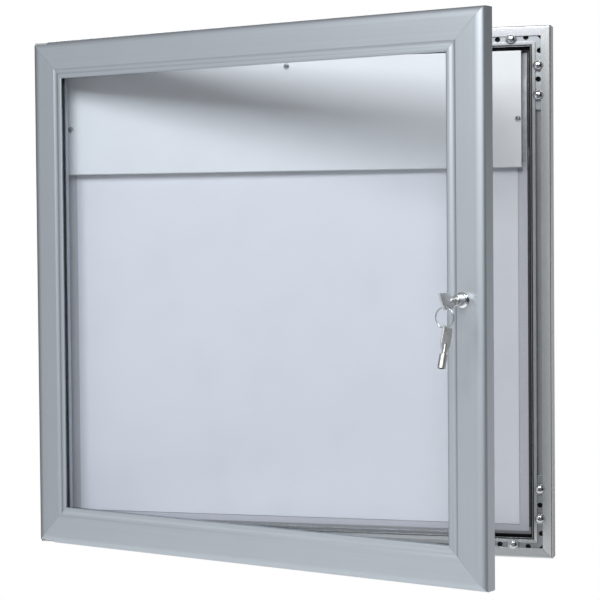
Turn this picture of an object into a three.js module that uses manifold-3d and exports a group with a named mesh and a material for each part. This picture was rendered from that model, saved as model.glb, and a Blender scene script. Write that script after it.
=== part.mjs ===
// A lockable notice board: a shallow aluminium wall case with a glazed, side-hung door.
// Sizes are in millimetres. X runs to the right seen from the front, Y into the wall, Z up.
// The origin is the middle of the back, on the wall.

import * as THREE from "three";
import { mergeVertices } from "three/addons/utils/BufferGeometryUtils.js";
import Module from "manifold-3d";

const wasm = await Module();
wasm.setup();

// Whole board
const boardWidth = 718;
const boardHeight = 700;
const caseDepth = 25;
const doorDepth = 24;
const doorGap = 1; // closed door's back to the front of the case
const restGap = 0.3; // air between two pieces that touch
const mitreGap = 0.2; // each rail's end to its mitre plane, along the rail
const cutOverrun = 1;
const doorOpenAngle = THREE.MathUtils.degToRad(19);
const keyLean = THREE.MathUtils.degToRad(20);

// Case rail section, from the outer edge inwards
const caseWall = 2;
const caseFrontSkin = 1.8;
const caseEdgeRadius = 2;
const slotInset = 13;
const slotOpening = 7.2;
const slotUndercut = 2.5;
const slotDepth = 7.5;
const slotSkin = 1.8;
const slotInnerWall = 1.8;
const innerLipWidth = 6.4;
const sealGrooveWidth = 2;
const sealGrooveDepth = 1;
const sealGrooveRim = 0.4;
const ledgeWidth = 5.3;
const ledgeSkin = 1.8;
const ledgeDepth = 13.2; // front of the case to the back of the ledge
const footWidth = 6.3;
const footSkin = 1.8;

// What the case rails hold
const rearSheetThickness = 1.2;
const boardThickness = 5;
const gasketOverlap = 3.5; // panel gasket past the ledge's inner edge
const gasketCover = 9; // panel gasket behind the ledge
const sheetThickness = 1;
const sheetSideInset = 46;
const sheetTopInset = 46;
const sheetBottomInset = 42;
const sealProud = 0.7; // door seal past the front of the case

// Door rail section, from the outer edge inwards
const doorWall = 2;
const doorWallSetback = 0.7; // back of the door to the back end of its outer wall
const doorEdgeWidth = 12;
const doorEdgeDepth = 6;
const faceWidth = 38;
const grooveWidth = 8.5;
const grooveDepth = 1.1;
const beadDrop = 0.1;
const beadCrest = 1.5;
const sightInset = 52;
const sightDrop = 1.2;
const flangeBack = 2.5; // front of the door to the back of the glazing flange
const webInset = 24; // open outer channel, from the outer edge to the box web
const boxWidth = 20; // box chamber with both its walls
const boxWall = 1.8;
const boxFrontSkin = 2.4;

// Glazing
const glassThickness = 4;
const glassCover = 6; // glass behind the glazing flange
const gasketThickness = 2.7;
const gasketReveal = 0.3; // glazing gasket short of the sight edge
const glassGasketWidth = 6;
const glazingBeadWidth = 6.5;
const glazingBeadDepth = 6;

// Door corner cleats
const cleatLength = 70;
const cleatWidth = 17.7;
const cleatBackClear = 6; // back of the door to the back of the cleat
const cleatBevelWidth = 6.5;
const cleatBevelDepth = 4.5;

// Pivot hinges at the two left corners
const pivotInset = 6;
const pinRadius = 2.5;
const pinLength = 27;
const plateInset = 1; // outer edge of the board to the hinge plate
const plateThickness = 2;
const plateSideInset = 0.5;
const plateWidth = 24.5;
const plateFrontInset = 1; // closed door's front to the plate's front end
const plateOuterRadius = 4;
const plateInnerRadius = 8;
const plateRunClear = 1; // plate's inner side to the door's rebate
const rootInset = 10;
const rootWidth = 20;
const rootDepth = 17;
const hingeScrewInset = 28;
const hingeScrewRadius = 1.5;
const hingeScrewHeadRadius = 2.8;
const hingeScrewLength = 9;
const countersinkDepth = 1.3;

// L brackets in the corners of the case's slot, measured from the slot's outer corner
const bracketThickness = 3;
const bracketReach = 97;
const bracketEndRadius = 4.5;
const bracketChamfer = 4.5;
const bracketHoleRadius = 3.4;
const bracketHoleFirst = 19.5;
const bracketHoleSecond = 57;
const bracketHoleShift = 1.9; // first hole, towards the outer lip
const bracketScrewFirst = 39;
const bracketScrewSecond = 78;

// Flanged dome-head screws of the brackets
const screwShankRadius = 2.7;
const screwShankLength = 7;
const screwFlangeRadius = 7;
const screwFlangeHeight = 0.9;
const screwDomeRadius = 5.2;
const screwDomeHeight = 2;
const screwSocketRadius = 1.9;
const screwSocketDepth = 1.6;

// Header fascia and what carries it
const fasciaSideInset = 39;
const fasciaTopInset = 31.5;
const fasciaHeight = 153;
const fasciaSetback = 1.5; // front of the case to the fascia
const fasciaSkin = 1.2;
const fasciaReturn = 10;
const strutSkin = 1.5;
const strutInset = 34;
const strutFoot = 7.3;
const strutFlange = 9.2;
const sideStrutLength = 110;
const topStrutLength = 60;
const fasciaScrewInset = 43.5;
const fasciaScrewDrop = 121; // top of the board to the side screws
const fasciaTopScrewInset = 42.4;
const fasciaScrewRadius = 1.75;
const fasciaScrewLength = 6;
const fasciaScrewHeadRadius = 3.9;
const fasciaScrewHeadHeight = 2.2;
const fasciaScrewSocketRadius = 1.2;
const fasciaScrewSocketDepth = 0.9;

// Cam lock in the closing stile
const lockInset = 30.5;
const rosetteRadius = 9.5;
const rosetteHeight = 2;
const rosetteEdge = 0.8;
const noseRadius = 7.1;
const noseTipRadius = 6.7;
const noseLength = 14;
const barrelRadius = 7.8;
const barrelLength = 19.5; // front face of the door to the barrel's back end
const plugRadius = 5.6;
const plugRecess = 0.3; // plug's face behind the nose's
const tailRadius = 2.2;
const tailEndClear = 1.2; // tail past the cam
const keywayClear = 1; // bottom of the plug's ring groove past the key's tube
const clipWidth = 19;
const clipLength = 21;
const clipThickness = 1.6;
const clipNotch = 1.4; // depth of the barrel's side notches
const clipWindowClear = 0.5;
const camThickness = 2.4;
const camBossRadius = 3.4;
const camTipRadius = 2.9;
const camTipOffset = 2.7;
const camLipClear = 0.5; // cam's front behind the lip's back

// Tubular key, its ring and the spare key
const keyThickness = 2.2;
const tubeRadius = 4.8;
const tubeBore = 3.6;
const tubeLength = 17;
const tubeCap = 1.5;
const shankRadius = 3.2;
const shankLength = 13;
const bowShoulder = 12;
const bowLength = 21.5;
const bowWidth = 20;
const bowNeck = 7;
const bowHoleRadius = 2.3;
const bowHoleEnd = 4;
const bowHoleSide = 6.5;
const keyStandOff = 0.6; // key's shoulder off the plug's face
const ringRadius = 12.2;
const ringWire = 0.7;
const ringSag = 0.9; // middle of a key's hole to the middle of the wire

// Places worked out from the sizes
const halfWidth = boardWidth / 2;
const halfHeight = boardHeight / 2;
const caseFront = -caseDepth;
const doorBack = caseFront - doorGap;
const doorFront = doorBack - doorDepth;
const slotEnd = slotInset + slotOpening;
const slotMiddle = slotInset + slotOpening / 2;
const slotFloor = caseFront + slotDepth;
const lipBack = caseFront + caseFrontSkin;
const lipEnd = slotEnd + innerLipWidth;
const innerWallStart = slotEnd + slotUndercut - (caseFrontSkin - slotInnerWall);
const innerWallEnd = innerWallStart + slotInnerWall;
const outerWallStart = slotInset - slotUndercut - slotSkin;
const ledgeEnd = innerWallEnd + ledgeWidth;
const ledgeBack = caseFront + ledgeDepth;
const footBack = -rearSheetThickness - restGap;
const footFront = footBack - footSkin;
const boardBack = footFront - restGap;
const boardFront = boardBack - boardThickness;
const sheetBack = boardFront - restGap;
const boxEnd = webInset + boxWidth;
const flangeUnderside = doorFront + flangeBack;
const glassFront = flangeUnderside + restGap + gasketThickness + restGap;
const glassBack = glassFront + glassThickness;
const pivotX = -halfWidth + pivotInset;
const pivotY = doorBack - doorDepth / 2;
const lockX = halfWidth - lockInset;
const fasciaFront = caseFront + fasciaSetback;
const fasciaTop = halfHeight - fasciaTopInset;
const fasciaScrewHeight = halfHeight - fasciaScrewDrop;
const fasciaBottom = fasciaTop - fasciaHeight;
const clipFront = doorFront + boxFrontSkin + restGap;
const clipBack = clipFront + clipThickness;
const noseEnd = doorFront - rosetteHeight - noseLength;
const plugFront = noseEnd + plugRecess;
const keyShoulder = plugFront - keyStandOff;
const bowEnd = keyShoulder - bowShoulder - bowLength;

// Solids and their joins

function solidFrom(geometry) {
  const bare = geometry.clone();
  bare.deleteAttribute("normal");
  bare.deleteAttribute("uv");
  const merged = mergeVertices(bare);
  return new wasm.Manifold(
    new wasm.Mesh({
      numProp: 3,
      vertProperties: merged.attributes.position.array,
      triVerts: new Uint32Array(merged.index.array),
    }),
  );
}

function geometryFrom(solid) {
  const mesh = solid.getMesh();
  const geometry = new THREE.BufferGeometry();
  geometry.setAttribute("position", new THREE.BufferAttribute(mesh.vertProperties, mesh.numProp));
  geometry.setIndex(new THREE.BufferAttribute(mesh.triVerts, 1));
  geometry.computeVertexNormals();
  return geometry;
}

function cut(geometry, ...tools) {
  return geometryFrom(tools.reduce((left, tool) => left.subtract(solidFrom(tool)), solidFrom(geometry)));
}

function join(geometry, ...others) {
  return geometryFrom(others.reduce((sum, other) => sum.add(solidFrom(other)), solidFrom(geometry)));
}

// Basic shapes

// A box given by its lowest and highest corners.
function boxBetween(low, high) {
  const size = new THREE.Vector3().subVectors(high, low);
  const middle = new THREE.Vector3().addVectors(low, high).multiplyScalar(1 / 2);
  return new THREE.BoxGeometry(size.x, size.y, size.z).translate(middle.x, middle.y, middle.z);
}

function vector(x, y, z) {
  return new THREE.Vector3(x, y, z);
}

function rectangle(left, right, bottom, top) {
  const points = [
    new THREE.Vector2(left, bottom),
    new THREE.Vector2(right, bottom),
    new THREE.Vector2(right, top),
    new THREE.Vector2(left, top),
  ];
  return new THREE.Shape(points);
}

// A plate of an X-Z outline, with its back at the given Y and its thickness towards the front.
function plate(outline, back, thickness, curveSegments = 6) {
  return new THREE.ExtrudeGeometry(outline, { depth: thickness, bevelEnabled: false, curveSegments })
    .rotateX(Math.PI / 2)
    .translate(0, back, 0);
}

// A flat frame round the board: outer and inner insets from the board's edge.
function frame(outerInset, innerInset, back, thickness) {
  const sides = (inset) => [inset - halfWidth, halfWidth - inset, inset - halfHeight, halfHeight - inset];
  const outline = rectangle(...sides(outerInset));
  outline.holes.push(rectangle(...sides(innerInset)));
  return plate(outline, back, thickness);
}

// A round solid about the Y axis. Its profile runs from the front end to the back end.
function turned(profile, segments = 20) {
  return new THREE.LatheGeometry(profile.map(([radius, y]) => new THREE.Vector2(radius, y)), segments);
}

function rod(radius, front, back, segments = 20) {
  return turned([[0, front], [radius, front], [radius, back], [0, back]], segments);
}

function circleHole(x, z, radius) {
  return new THREE.Path().absarc(x, z, radius, 0, 2 * Math.PI, true);
}

// A straight bar along X below the middle. Its outline holds the inset from the outer edge and
// the depth. A mitred bar has each end shortened by the inset of every corner.
function bar(outline, halfLength, halfAcross, mitred) {
  const geometry = new THREE.ExtrudeGeometry(outline, { depth: 1, bevelEnabled: false, curveSegments: 5 });
  const corners = geometry.attributes.position;
  for (let i = 0; i < corners.count; i += 1) {
    const inset = corners.getX(i);
    const end = mitred ? halfLength - inset - mitreGap : halfLength;
    corners.setXYZ(i, end * (1 - 2 * corners.getZ(i)), corners.getY(i), inset - halfAcross);
  }
  return geometry;
}

// Materials and nodes

function finish(color, roughness, metalness) {
  return () => new THREE.MeshStandardMaterial({ color, roughness, metalness });
}

const anodised = finish(0xb4bac2, 0.42, 0.75);
const castAlloy = finish(0xc3c8ce, 0.4, 0.8);
const chrome = finish(0xe2e5e8, 0.12, 1);
const zincSteel = finish(0xc9ccd0, 0.3, 0.9);
const keySteel = finish(0xa9adb0, 0.35, 0.9);
const whiteSheet = finish(0xdfe3ea, 0.35, 0);
const fasciaWhite = finish(0xe3e7ec, 0.25, 0.1);
const galvanised = finish(0xa6abb0, 0.5, 0.6);
const blackRubber = finish(0x1b1d20, 0.7, 0);
const greyRubber = finish(0x3a3e44, 0.75, 0);

function glassFinish() {
  return new THREE.MeshStandardMaterial({
    color: 0xe8f0f0,
    roughness: 0.05,
    metalness: 0,
    transparent: true,
    opacity: 0.25,
  });
}

function addPiece(group, name, geometry, makeMaterial) {
  const mesh = new THREE.Mesh(geometry, makeMaterial());
  mesh.name = name;
  group.add(mesh);
  return mesh;
}

// The four sides of the board, turned from the bottom rail's place.
const sides = {
  bottom: { turn: 0, halfLength: halfWidth, halfAcross: halfHeight },
  right: { turn: -Math.PI / 2, halfLength: halfHeight, halfAcross: halfWidth },
  top: { turn: Math.PI, halfLength: halfWidth, halfAcross: halfHeight },
  left: { turn: Math.PI / 2, halfLength: halfHeight, halfAcross: halfWidth },
};

const corners = [
  { name: "top_right", x: 1, z: 1 },
  { name: "bottom_right", x: 1, z: -1 },
  { name: "top_left", x: -1, z: 1 },
  { name: "bottom_left", x: -1, z: -1 },
];

// Case

function caseSection() {
  const outline = new THREE.Shape();
  const grooveEnd = lipEnd - sealGrooveRim;
  const grooveStart = grooveEnd - sealGrooveWidth;
  outline.moveTo(0, 0);
  outline.lineTo(0, caseFront + caseEdgeRadius);
  outline.absarc(caseEdgeRadius, caseFront + caseEdgeRadius, caseEdgeRadius, Math.PI, 1.5 * Math.PI, false);
  outline.lineTo(slotInset, caseFront);
  outline.lineTo(slotInset, lipBack);
  outline.lineTo(slotInset - slotUndercut, lipBack);
  outline.lineTo(slotInset - slotUndercut, slotFloor);
  outline.lineTo(innerWallStart, slotFloor);
  outline.lineTo(innerWallStart, lipBack);
  outline.lineTo(slotEnd, lipBack);
  outline.lineTo(slotEnd, caseFront);
  outline.lineTo(grooveStart, caseFront);
  outline.lineTo(grooveStart, caseFront + sealGrooveDepth);
  outline.lineTo(grooveEnd, caseFront + sealGrooveDepth);
  outline.lineTo(grooveEnd, caseFront);
  outline.lineTo(lipEnd, caseFront);
  outline.lineTo(lipEnd, lipBack);
  outline.lineTo(innerWallEnd, lipBack);
  outline.lineTo(innerWallEnd, ledgeBack - ledgeSkin);
  outline.lineTo(ledgeEnd, ledgeBack - ledgeSkin);
  outline.lineTo(ledgeEnd, ledgeBack);
  outline.lineTo(innerWallStart, ledgeBack);
  outline.lineTo(innerWallStart, slotFloor + slotSkin);
  outline.lineTo(outerWallStart + slotSkin, slotFloor + slotSkin);
  outline.lineTo(outerWallStart + slotSkin, footFront);
  outline.lineTo(outerWallStart + footWidth, footFront);
  outline.lineTo(outerWallStart + footWidth, footBack);
  outline.lineTo(outerWallStart, footBack);
  outline.lineTo(outerWallStart, lipBack);
  outline.lineTo(caseWall, lipBack);
  outline.lineTo(caseWall, 0);
  return outline;
}

// Opening in the front corner of a case rail that lets the hinge plate's neck in.
function hingeNotch(end) {
  const left = rootInset - restGap - halfWidth;
  const right = plateSideInset + plateWidth + restGap - halfWidth;
  const low = halfHeight - outerWallStart;
  const high = halfHeight + cutOverrun;
  const back = lipBack + restGap;
  return end > 0
    ? boxBetween(vector(left, caseFront - cutOverrun, low), vector(right, back, high))
    : boxBetween(vector(left, caseFront - cutOverrun, -high), vector(right, back, -low));
}

const hingeScrewX = hingeScrewInset - halfWidth;
const hingeScrewZ = halfHeight - (caseWall + outerWallStart) / 2;

// Countersunk hole for the screw that holds a hinge plate's root.
function hingeScrewHole(end) {
  const wide = hingeScrewHeadRadius + restGap;
  const narrow = hingeScrewRadius + restGap;
  const profile = [
    [0, caseFront - cutOverrun],
    [wide, caseFront - cutOverrun],
    [wide, caseFront + restGap],
    [narrow, caseFront + countersinkDepth + restGap],
    [narrow, caseFront + hingeScrewLength + restGap],
    [0, caseFront + hingeScrewLength + restGap],
  ];
  return turned(profile).translate(hingeScrewX, 0, end * hingeScrewZ);
}

function addCaseRails(group) {
  for (const [side, { turn, halfLength, halfAcross }] of Object.entries(sides)) {
    let geometry = bar(caseSection(), halfLength, halfAcross, true).rotateY(turn);
    if (side === "top") geometry = cut(geometry, hingeNotch(1), hingeScrewHole(1));
    if (side === "bottom") geometry = cut(geometry, hingeNotch(-1), hingeScrewHole(-1));
    addPiece(group, `case_rail_${side}`, geometry, anodised);
  }
}

function addCaseFilling(group) {
  const inBoard = (sideInset, bottomInset, topInset) =>
    rectangle(sideInset - halfWidth, halfWidth - sideInset, bottomInset - halfHeight, halfHeight - topInset);
  const rearInset = caseWall + restGap;
  const boardInset = outerWallStart + slotSkin + restGap;
  addPiece(group, "rear_sheet", plate(inBoard(rearInset, rearInset, rearInset), 0, rearSheetThickness), galvanised);
  const board = inBoard(boardInset, boardInset, boardInset);
  addPiece(group, "backing_board", plate(board, boardBack, boardThickness), galvanised);
  const sheet = inBoard(sheetSideInset, sheetBottomInset, sheetTopInset);
  addPiece(group, "magnetic_sheet", plate(sheet, sheetBack, sheetThickness), whiteSheet);
  const gasketThick = sheetBack - ledgeBack - restGap;
  const gasket = frame(ledgeEnd - gasketCover, ledgeEnd + gasketOverlap, sheetBack, gasketThick);
  addPiece(group, "panel_gasket", gasket, greyRubber);
}

function addDoorSeal(group) {
  const outer = lipEnd - sealGrooveRim - sealGrooveWidth + restGap;
  const inner = lipEnd - sealGrooveRim - restGap;
  const back = caseFront + sealGrooveDepth - restGap;
  addPiece(group, "door_seal", frame(outer, inner, back, back - caseFront + sealProud), blackRubber);
}

// Corner brackets and their screws

const bracketOuter = slotInset - slotUndercut + restGap;
const bracketInner = innerWallStart - restGap;
const bracketFront = lipBack + restGap;

// Insets along and across an arm's rounded end, from its outer edge to its inner edge.
function bracketEnd() {
  const steps = 4;
  const straight = slotInset + bracketReach - bracketEndRadius;
  const points = [];
  for (const [middle, start] of [[bracketOuter + bracketEndRadius, 0], [bracketInner - bracketEndRadius, 1]]) {
    for (let i = 0; i <= steps; i += 1) {
      const angle = ((start + i / steps) * Math.PI) / 2;
      const along = straight + bracketEndRadius * Math.sin(angle);
      points.push([along, middle - bracketEndRadius * Math.cos(angle)]);
    }
  }
  return points;
}

// One flat L bracket with its plain holes and screw holes.
function cornerBracket(corner) {
  const place = ([alongX, alongZ]) =>
    new THREE.Vector2(corner.x * (halfWidth - alongX), corner.z * (halfHeight - alongZ));
  const chamfer = 2 * slotInset + bracketChamfer - bracketOuter;
  const upright = bracketEnd().map(([along, across]) => [across, along]);
  const insets = [
    ...bracketEnd(),
    [bracketInner, bracketInner],
    ...upright.reverse(),
    [bracketOuter, chamfer],
    [chamfer, bracketOuter],
  ];
  const screwHole = screwShankRadius + restGap;
  const holes = [
    [bracketHoleFirst, slotMiddle - bracketHoleShift, bracketHoleRadius],
    [bracketHoleSecond, slotMiddle, bracketHoleRadius],
    [bracketScrewFirst, slotMiddle, screwHole],
    [bracketScrewSecond, slotMiddle, screwHole],
  ];
  const back = bracketFront + bracketThickness;
  const drills = holes.flatMap(([along, across, radius]) => {
    const drill = rod(radius, bracketFront - cutOverrun, back + cutOverrun, 16);
    const inset = slotInset + along;
    return [place([inset, across]), place([across, inset])].map((spot) => drill.clone().translate(spot.x, 0, spot.y));
  });
  return cut(plate(new THREE.Shape(insets.map(place)), back, bracketThickness), ...drills);
}

function domeScrew() {
  const seat = caseFront - restGap;
  const rim = seat - screwFlangeHeight;
  const crown = rim - screwDomeHeight;
  const profile = [
    [0, crown + screwSocketDepth],
    [screwSocketRadius, crown + screwSocketDepth],
    [screwSocketRadius, crown],
  ];
  const steps = 3;
  const socketAngle = Math.acos(screwSocketRadius / screwDomeRadius);
  for (let i = 1; i <= steps; i += 1) {
    const angle = socketAngle * (1 - i / steps);
    const rise = Math.sin(angle) / Math.sin(socketAngle);
    profile.push([screwDomeRadius * Math.cos(angle), rim - screwDomeHeight * rise]);
  }
  profile.push([screwFlangeRadius, rim]);
  profile.push([screwFlangeRadius, seat]);
  profile.push([screwShankRadius, seat]);
  profile.push([screwShankRadius, seat + screwShankLength]);
  profile.push([0, seat + screwShankLength]);
  return turned(profile, 18);
}

function addCornerBrackets(group) {
  for (const corner of corners) {
    addPiece(group, `corner_bracket_${corner.name}`, cornerBracket(corner), castAlloy);
    let count = 0;
    for (const along of [bracketScrewFirst, bracketScrewSecond]) {
      const inset = slotInset + along;
      for (const [insetX, insetZ] of [[inset, slotMiddle], [slotMiddle, inset]]) {
        count += 1;
        const x = corner.x * (halfWidth - insetX);
        const z = corner.z * (halfHeight - insetZ);
        addPiece(group, `bracket_screw_${corner.name}_${count}`, domeScrew().translate(x, 0, z), zincSteel);
      }
    }
  }
}

// Header fascia on its three struts

// The Z section of a strut. Its foot stands on the backing board's border.
function strutSection() {
  const foot = boardFront - restGap;
  const flange = fasciaFront + fasciaSkin + restGap;
  const webEnd = strutInset + strutFoot;
  return new THREE.Shape([
    new THREE.Vector2(strutInset, foot),
    new THREE.Vector2(strutInset, foot - strutSkin),
    new THREE.Vector2(webEnd - strutSkin, foot - strutSkin),
    new THREE.Vector2(webEnd - strutSkin, flange),
    new THREE.Vector2(webEnd + strutFlange, flange),
    new THREE.Vector2(webEnd + strutFlange, flange + strutSkin),
    new THREE.Vector2(webEnd, flange + strutSkin),
    new THREE.Vector2(webEnd, foot),
  ]);
}

function fasciaHole(x, z) {
  const radius = fasciaScrewRadius + restGap;
  return rod(radius, fasciaFront - cutOverrun, fasciaFront + fasciaScrewLength + restGap, 14).translate(x, 0, z);
}

function fasciaScrew(x, z) {
  const seat = fasciaFront - restGap;
  const crown = seat - fasciaScrewHeadHeight;
  const shoulder = fasciaScrewHeadHeight / 2;
  const profile = [
    [0, crown + fasciaScrewSocketDepth],
    [fasciaScrewSocketRadius, crown + fasciaScrewSocketDepth],
    [fasciaScrewSocketRadius, crown],
    [(fasciaScrewSocketRadius + fasciaScrewHeadRadius) / 2, crown],
    [fasciaScrewHeadRadius, seat - shoulder],
    [fasciaScrewHeadRadius, seat],
    [fasciaScrewRadius, seat],
    [fasciaScrewRadius, seat + fasciaScrewLength],
    [0, seat + fasciaScrewLength],
  ];
  return turned(profile, 16).translate(x, 0, z);
}

function addHeader(group) {
  const sideX = halfWidth - fasciaScrewInset;
  const topZ = halfHeight - fasciaTopScrewInset;
  const spots = {
    left: [-sideX, fasciaScrewHeight],
    right: [sideX, fasciaScrewHeight],
    top: [0, topZ],
  };
  const half = halfWidth - fasciaSideInset;
  const back = fasciaFront + fasciaSkin;
  const returnBack = back + fasciaReturn;
  const front = boxBetween(vector(-half, fasciaFront, fasciaBottom), vector(half, back, fasciaTop));
  const lower = boxBetween(
    vector(-half, fasciaFront, fasciaBottom),
    vector(half, returnBack, fasciaBottom + fasciaSkin),
  );
  const upper = boxBetween(vector(-half, fasciaFront, fasciaTop - fasciaSkin), vector(half, returnBack, fasciaTop));
  const holes = Object.values(spots).map(([x, z]) => fasciaHole(x, z));
  addPiece(group, "header_fascia", cut(join(front, lower, upper), ...holes), fasciaWhite);

  const lengths = { left: sideStrutLength, right: sideStrutLength, top: topStrutLength };
  for (const [side, [x, z]] of Object.entries(spots)) {
    const { turn, halfAcross } = sides[side];
    const middle = side === "top" ? vector(x, 0, 0) : vector(0, 0, z);
    const strut = bar(strutSection(), lengths[side] / 2, halfAcross, false).rotateY(turn);
    strut.translate(middle.x, middle.y, middle.z);
    addPiece(group, `header_strut_${side}`, cut(strut, fasciaHole(x, z)), galvanised);
    addPiece(group, `header_screw_${side}`, fasciaScrew(x, z), zincSteel);
  }
}

// Pivot hinges

// One hinge plate for the upper corner: a flat arm over the door, and a root in the case rail.
function hingePlate() {
  const left = plateSideInset - halfWidth;
  const right = left + plateWidth;
  const front = doorFront + plateFrontInset;
  const neckLeft = rootInset - halfWidth;
  const top = halfHeight - plateInset;
  const outline = new THREE.Shape();
  outline.moveTo(left, caseFront - restGap);
  outline.lineTo(left, front + plateOuterRadius);
  outline.absarc(left + plateOuterRadius, front + plateOuterRadius, plateOuterRadius, Math.PI, 1.5 * Math.PI, false);
  outline.lineTo(right - plateInnerRadius, front);
  outline.absarc(right - plateInnerRadius, front + plateInnerRadius, plateInnerRadius, 1.5 * Math.PI, 2 * Math.PI, false);
  outline.lineTo(right, lipBack);
  outline.lineTo(neckLeft, lipBack);
  outline.lineTo(neckLeft, caseFront - restGap);
  outline.holes.push(circleHole(pivotX, pivotY, pinRadius + restGap));
  const arm = new THREE.ExtrudeGeometry(outline, { depth: plateThickness, bevelEnabled: false, curveSegments: 6 });
  arm.translate(0, 0, top - plateThickness);
  const rootTop = halfHeight - caseWall - restGap;
  const rootBottom = halfHeight - outerWallStart + restGap;
  const rootFront = lipBack + restGap;
  const neck = boxBetween(vector(neckLeft, caseFront, rootBottom), vector(right, rootFront, top));
  const root = boxBetween(
    vector(neckLeft, lipBack + restGap / 2, rootBottom),
    vector(neckLeft + rootWidth, rootFront + rootDepth, rootTop),
  );
  const clearFront = boxBetween(
    vector(right, caseFront - cutOverrun, rootBottom - cutOverrun),
    vector(neckLeft + rootWidth + cutOverrun, rootFront, rootTop + cutOverrun),
  );
  return cut(join(arm, neck, root), clearFront, hingeScrewHole(1));
}

function hingePin() {
  const top = halfHeight - plateInset - restGap;
  return rod(pinRadius, -top, pinLength - top, 20).rotateX(-Math.PI / 2).translate(pivotX, pivotY, 0);
}

function hingeScrew() {
  const profile = [
    [0, caseFront + restGap],
    [hingeScrewHeadRadius, caseFront + restGap],
    [hingeScrewRadius, caseFront + countersinkDepth + restGap],
    [hingeScrewRadius, caseFront + hingeScrewLength],
    [0, caseFront + hingeScrewLength],
  ];
  return turned(profile, 14).translate(hingeScrewX, 0, hingeScrewZ);
}

// The lower hinge is the upper one turned over, which keeps every face pointing out.
function turnedOver(geometry) {
  const flipped = geometry.clone().scale(1, 1, -1);
  if (!flipped.index) flipped.setIndex([...Array(flipped.attributes.position.count).keys()]);
  const index = flipped.index.array;
  for (let i = 0; i < index.length; i += 3) {
    [index[i + 1], index[i + 2]] = [index[i + 2], index[i + 1]];
  }
  flipped.computeVertexNormals();
  return flipped;
}

function addHinges(group) {
  const makers = { hinge_plate: [hingePlate, zincSteel], hinge_pin: [hingePin, zincSteel], hinge_screw: [hingeScrew, zincSteel] };
  for (const [name, [make, material]] of Object.entries(makers)) {
    addPiece(group, `${name}_top`, make(), material);
    addPiece(group, `${name}_bottom`, turnedOver(make()), material);
  }
}

// Door, in the place of the closed door

function doorSection() {
  const crestStart = faceWidth + grooveWidth;
  const crestEnd = crestStart + beadCrest;
  const outline = new THREE.Shape();
  const wallEnd = doorBack - doorWallSetback;
  outline.moveTo(doorWall, wallEnd);
  outline.absarc(doorWall, wallEnd - doorWall, doorWall, Math.PI / 2, Math.PI, false);
  outline.lineTo(0, doorFront + doorEdgeDepth);
  outline.absellipse(doorEdgeWidth, doorFront + doorEdgeDepth, doorEdgeWidth, doorEdgeDepth, Math.PI, 1.5 * Math.PI, false);
  outline.lineTo(faceWidth, doorFront);
  outline.quadraticCurveTo(
    faceWidth + grooveWidth / 2,
    doorFront + 2 * grooveDepth,
    crestStart,
    doorFront + beadDrop,
  );
  outline.lineTo(crestEnd, doorFront + beadDrop);
  outline.quadraticCurveTo(sightInset, doorFront + beadDrop, sightInset, doorFront + sightDrop);
  outline.lineTo(sightInset, flangeUnderside);
  outline.lineTo(boxEnd, flangeUnderside);
  outline.lineTo(boxEnd, doorBack);
  outline.lineTo(webInset, doorBack);
  outline.lineTo(webInset, doorFront + doorWall);
  outline.absellipse(
    doorEdgeWidth,
    doorFront + doorEdgeDepth,
    doorEdgeWidth - doorWall,
    doorEdgeDepth - doorWall,
    1.5 * Math.PI,
    Math.PI,
    true,
  );
  const chamber = new THREE.Path([
    new THREE.Vector2(webInset + boxWall, doorFront + boxFrontSkin),
    new THREE.Vector2(boxEnd - boxWall, doorFront + boxFrontSkin),
    new THREE.Vector2(boxEnd - boxWall, doorBack - boxWall),
    new THREE.Vector2(webInset + boxWall, doorBack - boxWall),
  ]);
  outline.holes.push(chamber);
  return outline;
}

// Step in a left corner of the door that the hinge plate turns in.
function hingeRebate(end, clear) {
  const right = plateSideInset + plateWidth + plateRunClear + clear - halfWidth;
  const low = halfHeight - plateInset - plateThickness - restGap - clear;
  const high = halfHeight + cutOverrun;
  const left = -halfWidth - cutOverrun;
  const front = doorFront - cutOverrun;
  const back = doorBack + cutOverrun;
  return end > 0
    ? boxBetween(vector(left, front, low), vector(right, back, high))
    : boxBetween(vector(left, front, -high), vector(right, back, -low));
}

// Bore through the closing stile, and the window in its web for the lock's clip.
function lockCuts() {
  const bore = rod(barrelRadius + restGap, doorFront - cutOverrun, doorBack + cutOverrun, 28).translate(lockX, 0, 0);
  const reach = clipLength / 2 + clipWindowClear;
  const halfWindow = clipWidth / 2 + clipWindowClear;
  const window = boxBetween(
    vector(lockX + barrelRadius / 2, clipFront - restGap, -halfWindow),
    vector(lockX + reach, clipBack + restGap, halfWindow),
  );
  return [bore, window];
}

function addDoorRails(group) {
  for (const [side, { turn, halfLength, halfAcross }] of Object.entries(sides)) {
    let geometry = bar(doorSection(), halfLength, halfAcross, true).rotateY(turn);
    if (side === "top") geometry = cut(geometry, hingeRebate(1, 0));
    if (side === "bottom") geometry = cut(geometry, hingeRebate(-1, 0));
    if (side === "left") geometry = cut(geometry, hingeRebate(1, 0), hingeRebate(-1, 0));
    if (side === "right") geometry = cut(geometry, ...lockCuts());
    addPiece(group, `door_rail_${side}`, geometry, anodised);
  }
}

function addGlazing(group) {
  const glassInset = sightInset - glassCover;
  const pane = rectangle(glassInset - halfWidth, halfWidth - glassInset, glassInset - halfHeight, halfHeight - glassInset);
  addPiece(group, "glass_pane", plate(pane, glassBack, glassThickness), glassFinish);
  const gasketInner = sightInset - gasketReveal;
  const gasket = frame(gasketInner - glassGasketWidth, gasketInner, glassFront - restGap, gasketThickness);
  addPiece(group, "glazing_gasket", gasket, blackRubber);
  const beadOuter = boxEnd + restGap;
  const beadFront = glassBack + restGap;
  const bead = frame(beadOuter, beadOuter + glazingBeadWidth, beadFront + glazingBeadDepth, glazingBeadDepth);
  addPiece(group, "glazing_bead", bead, anodised);
}

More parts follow.
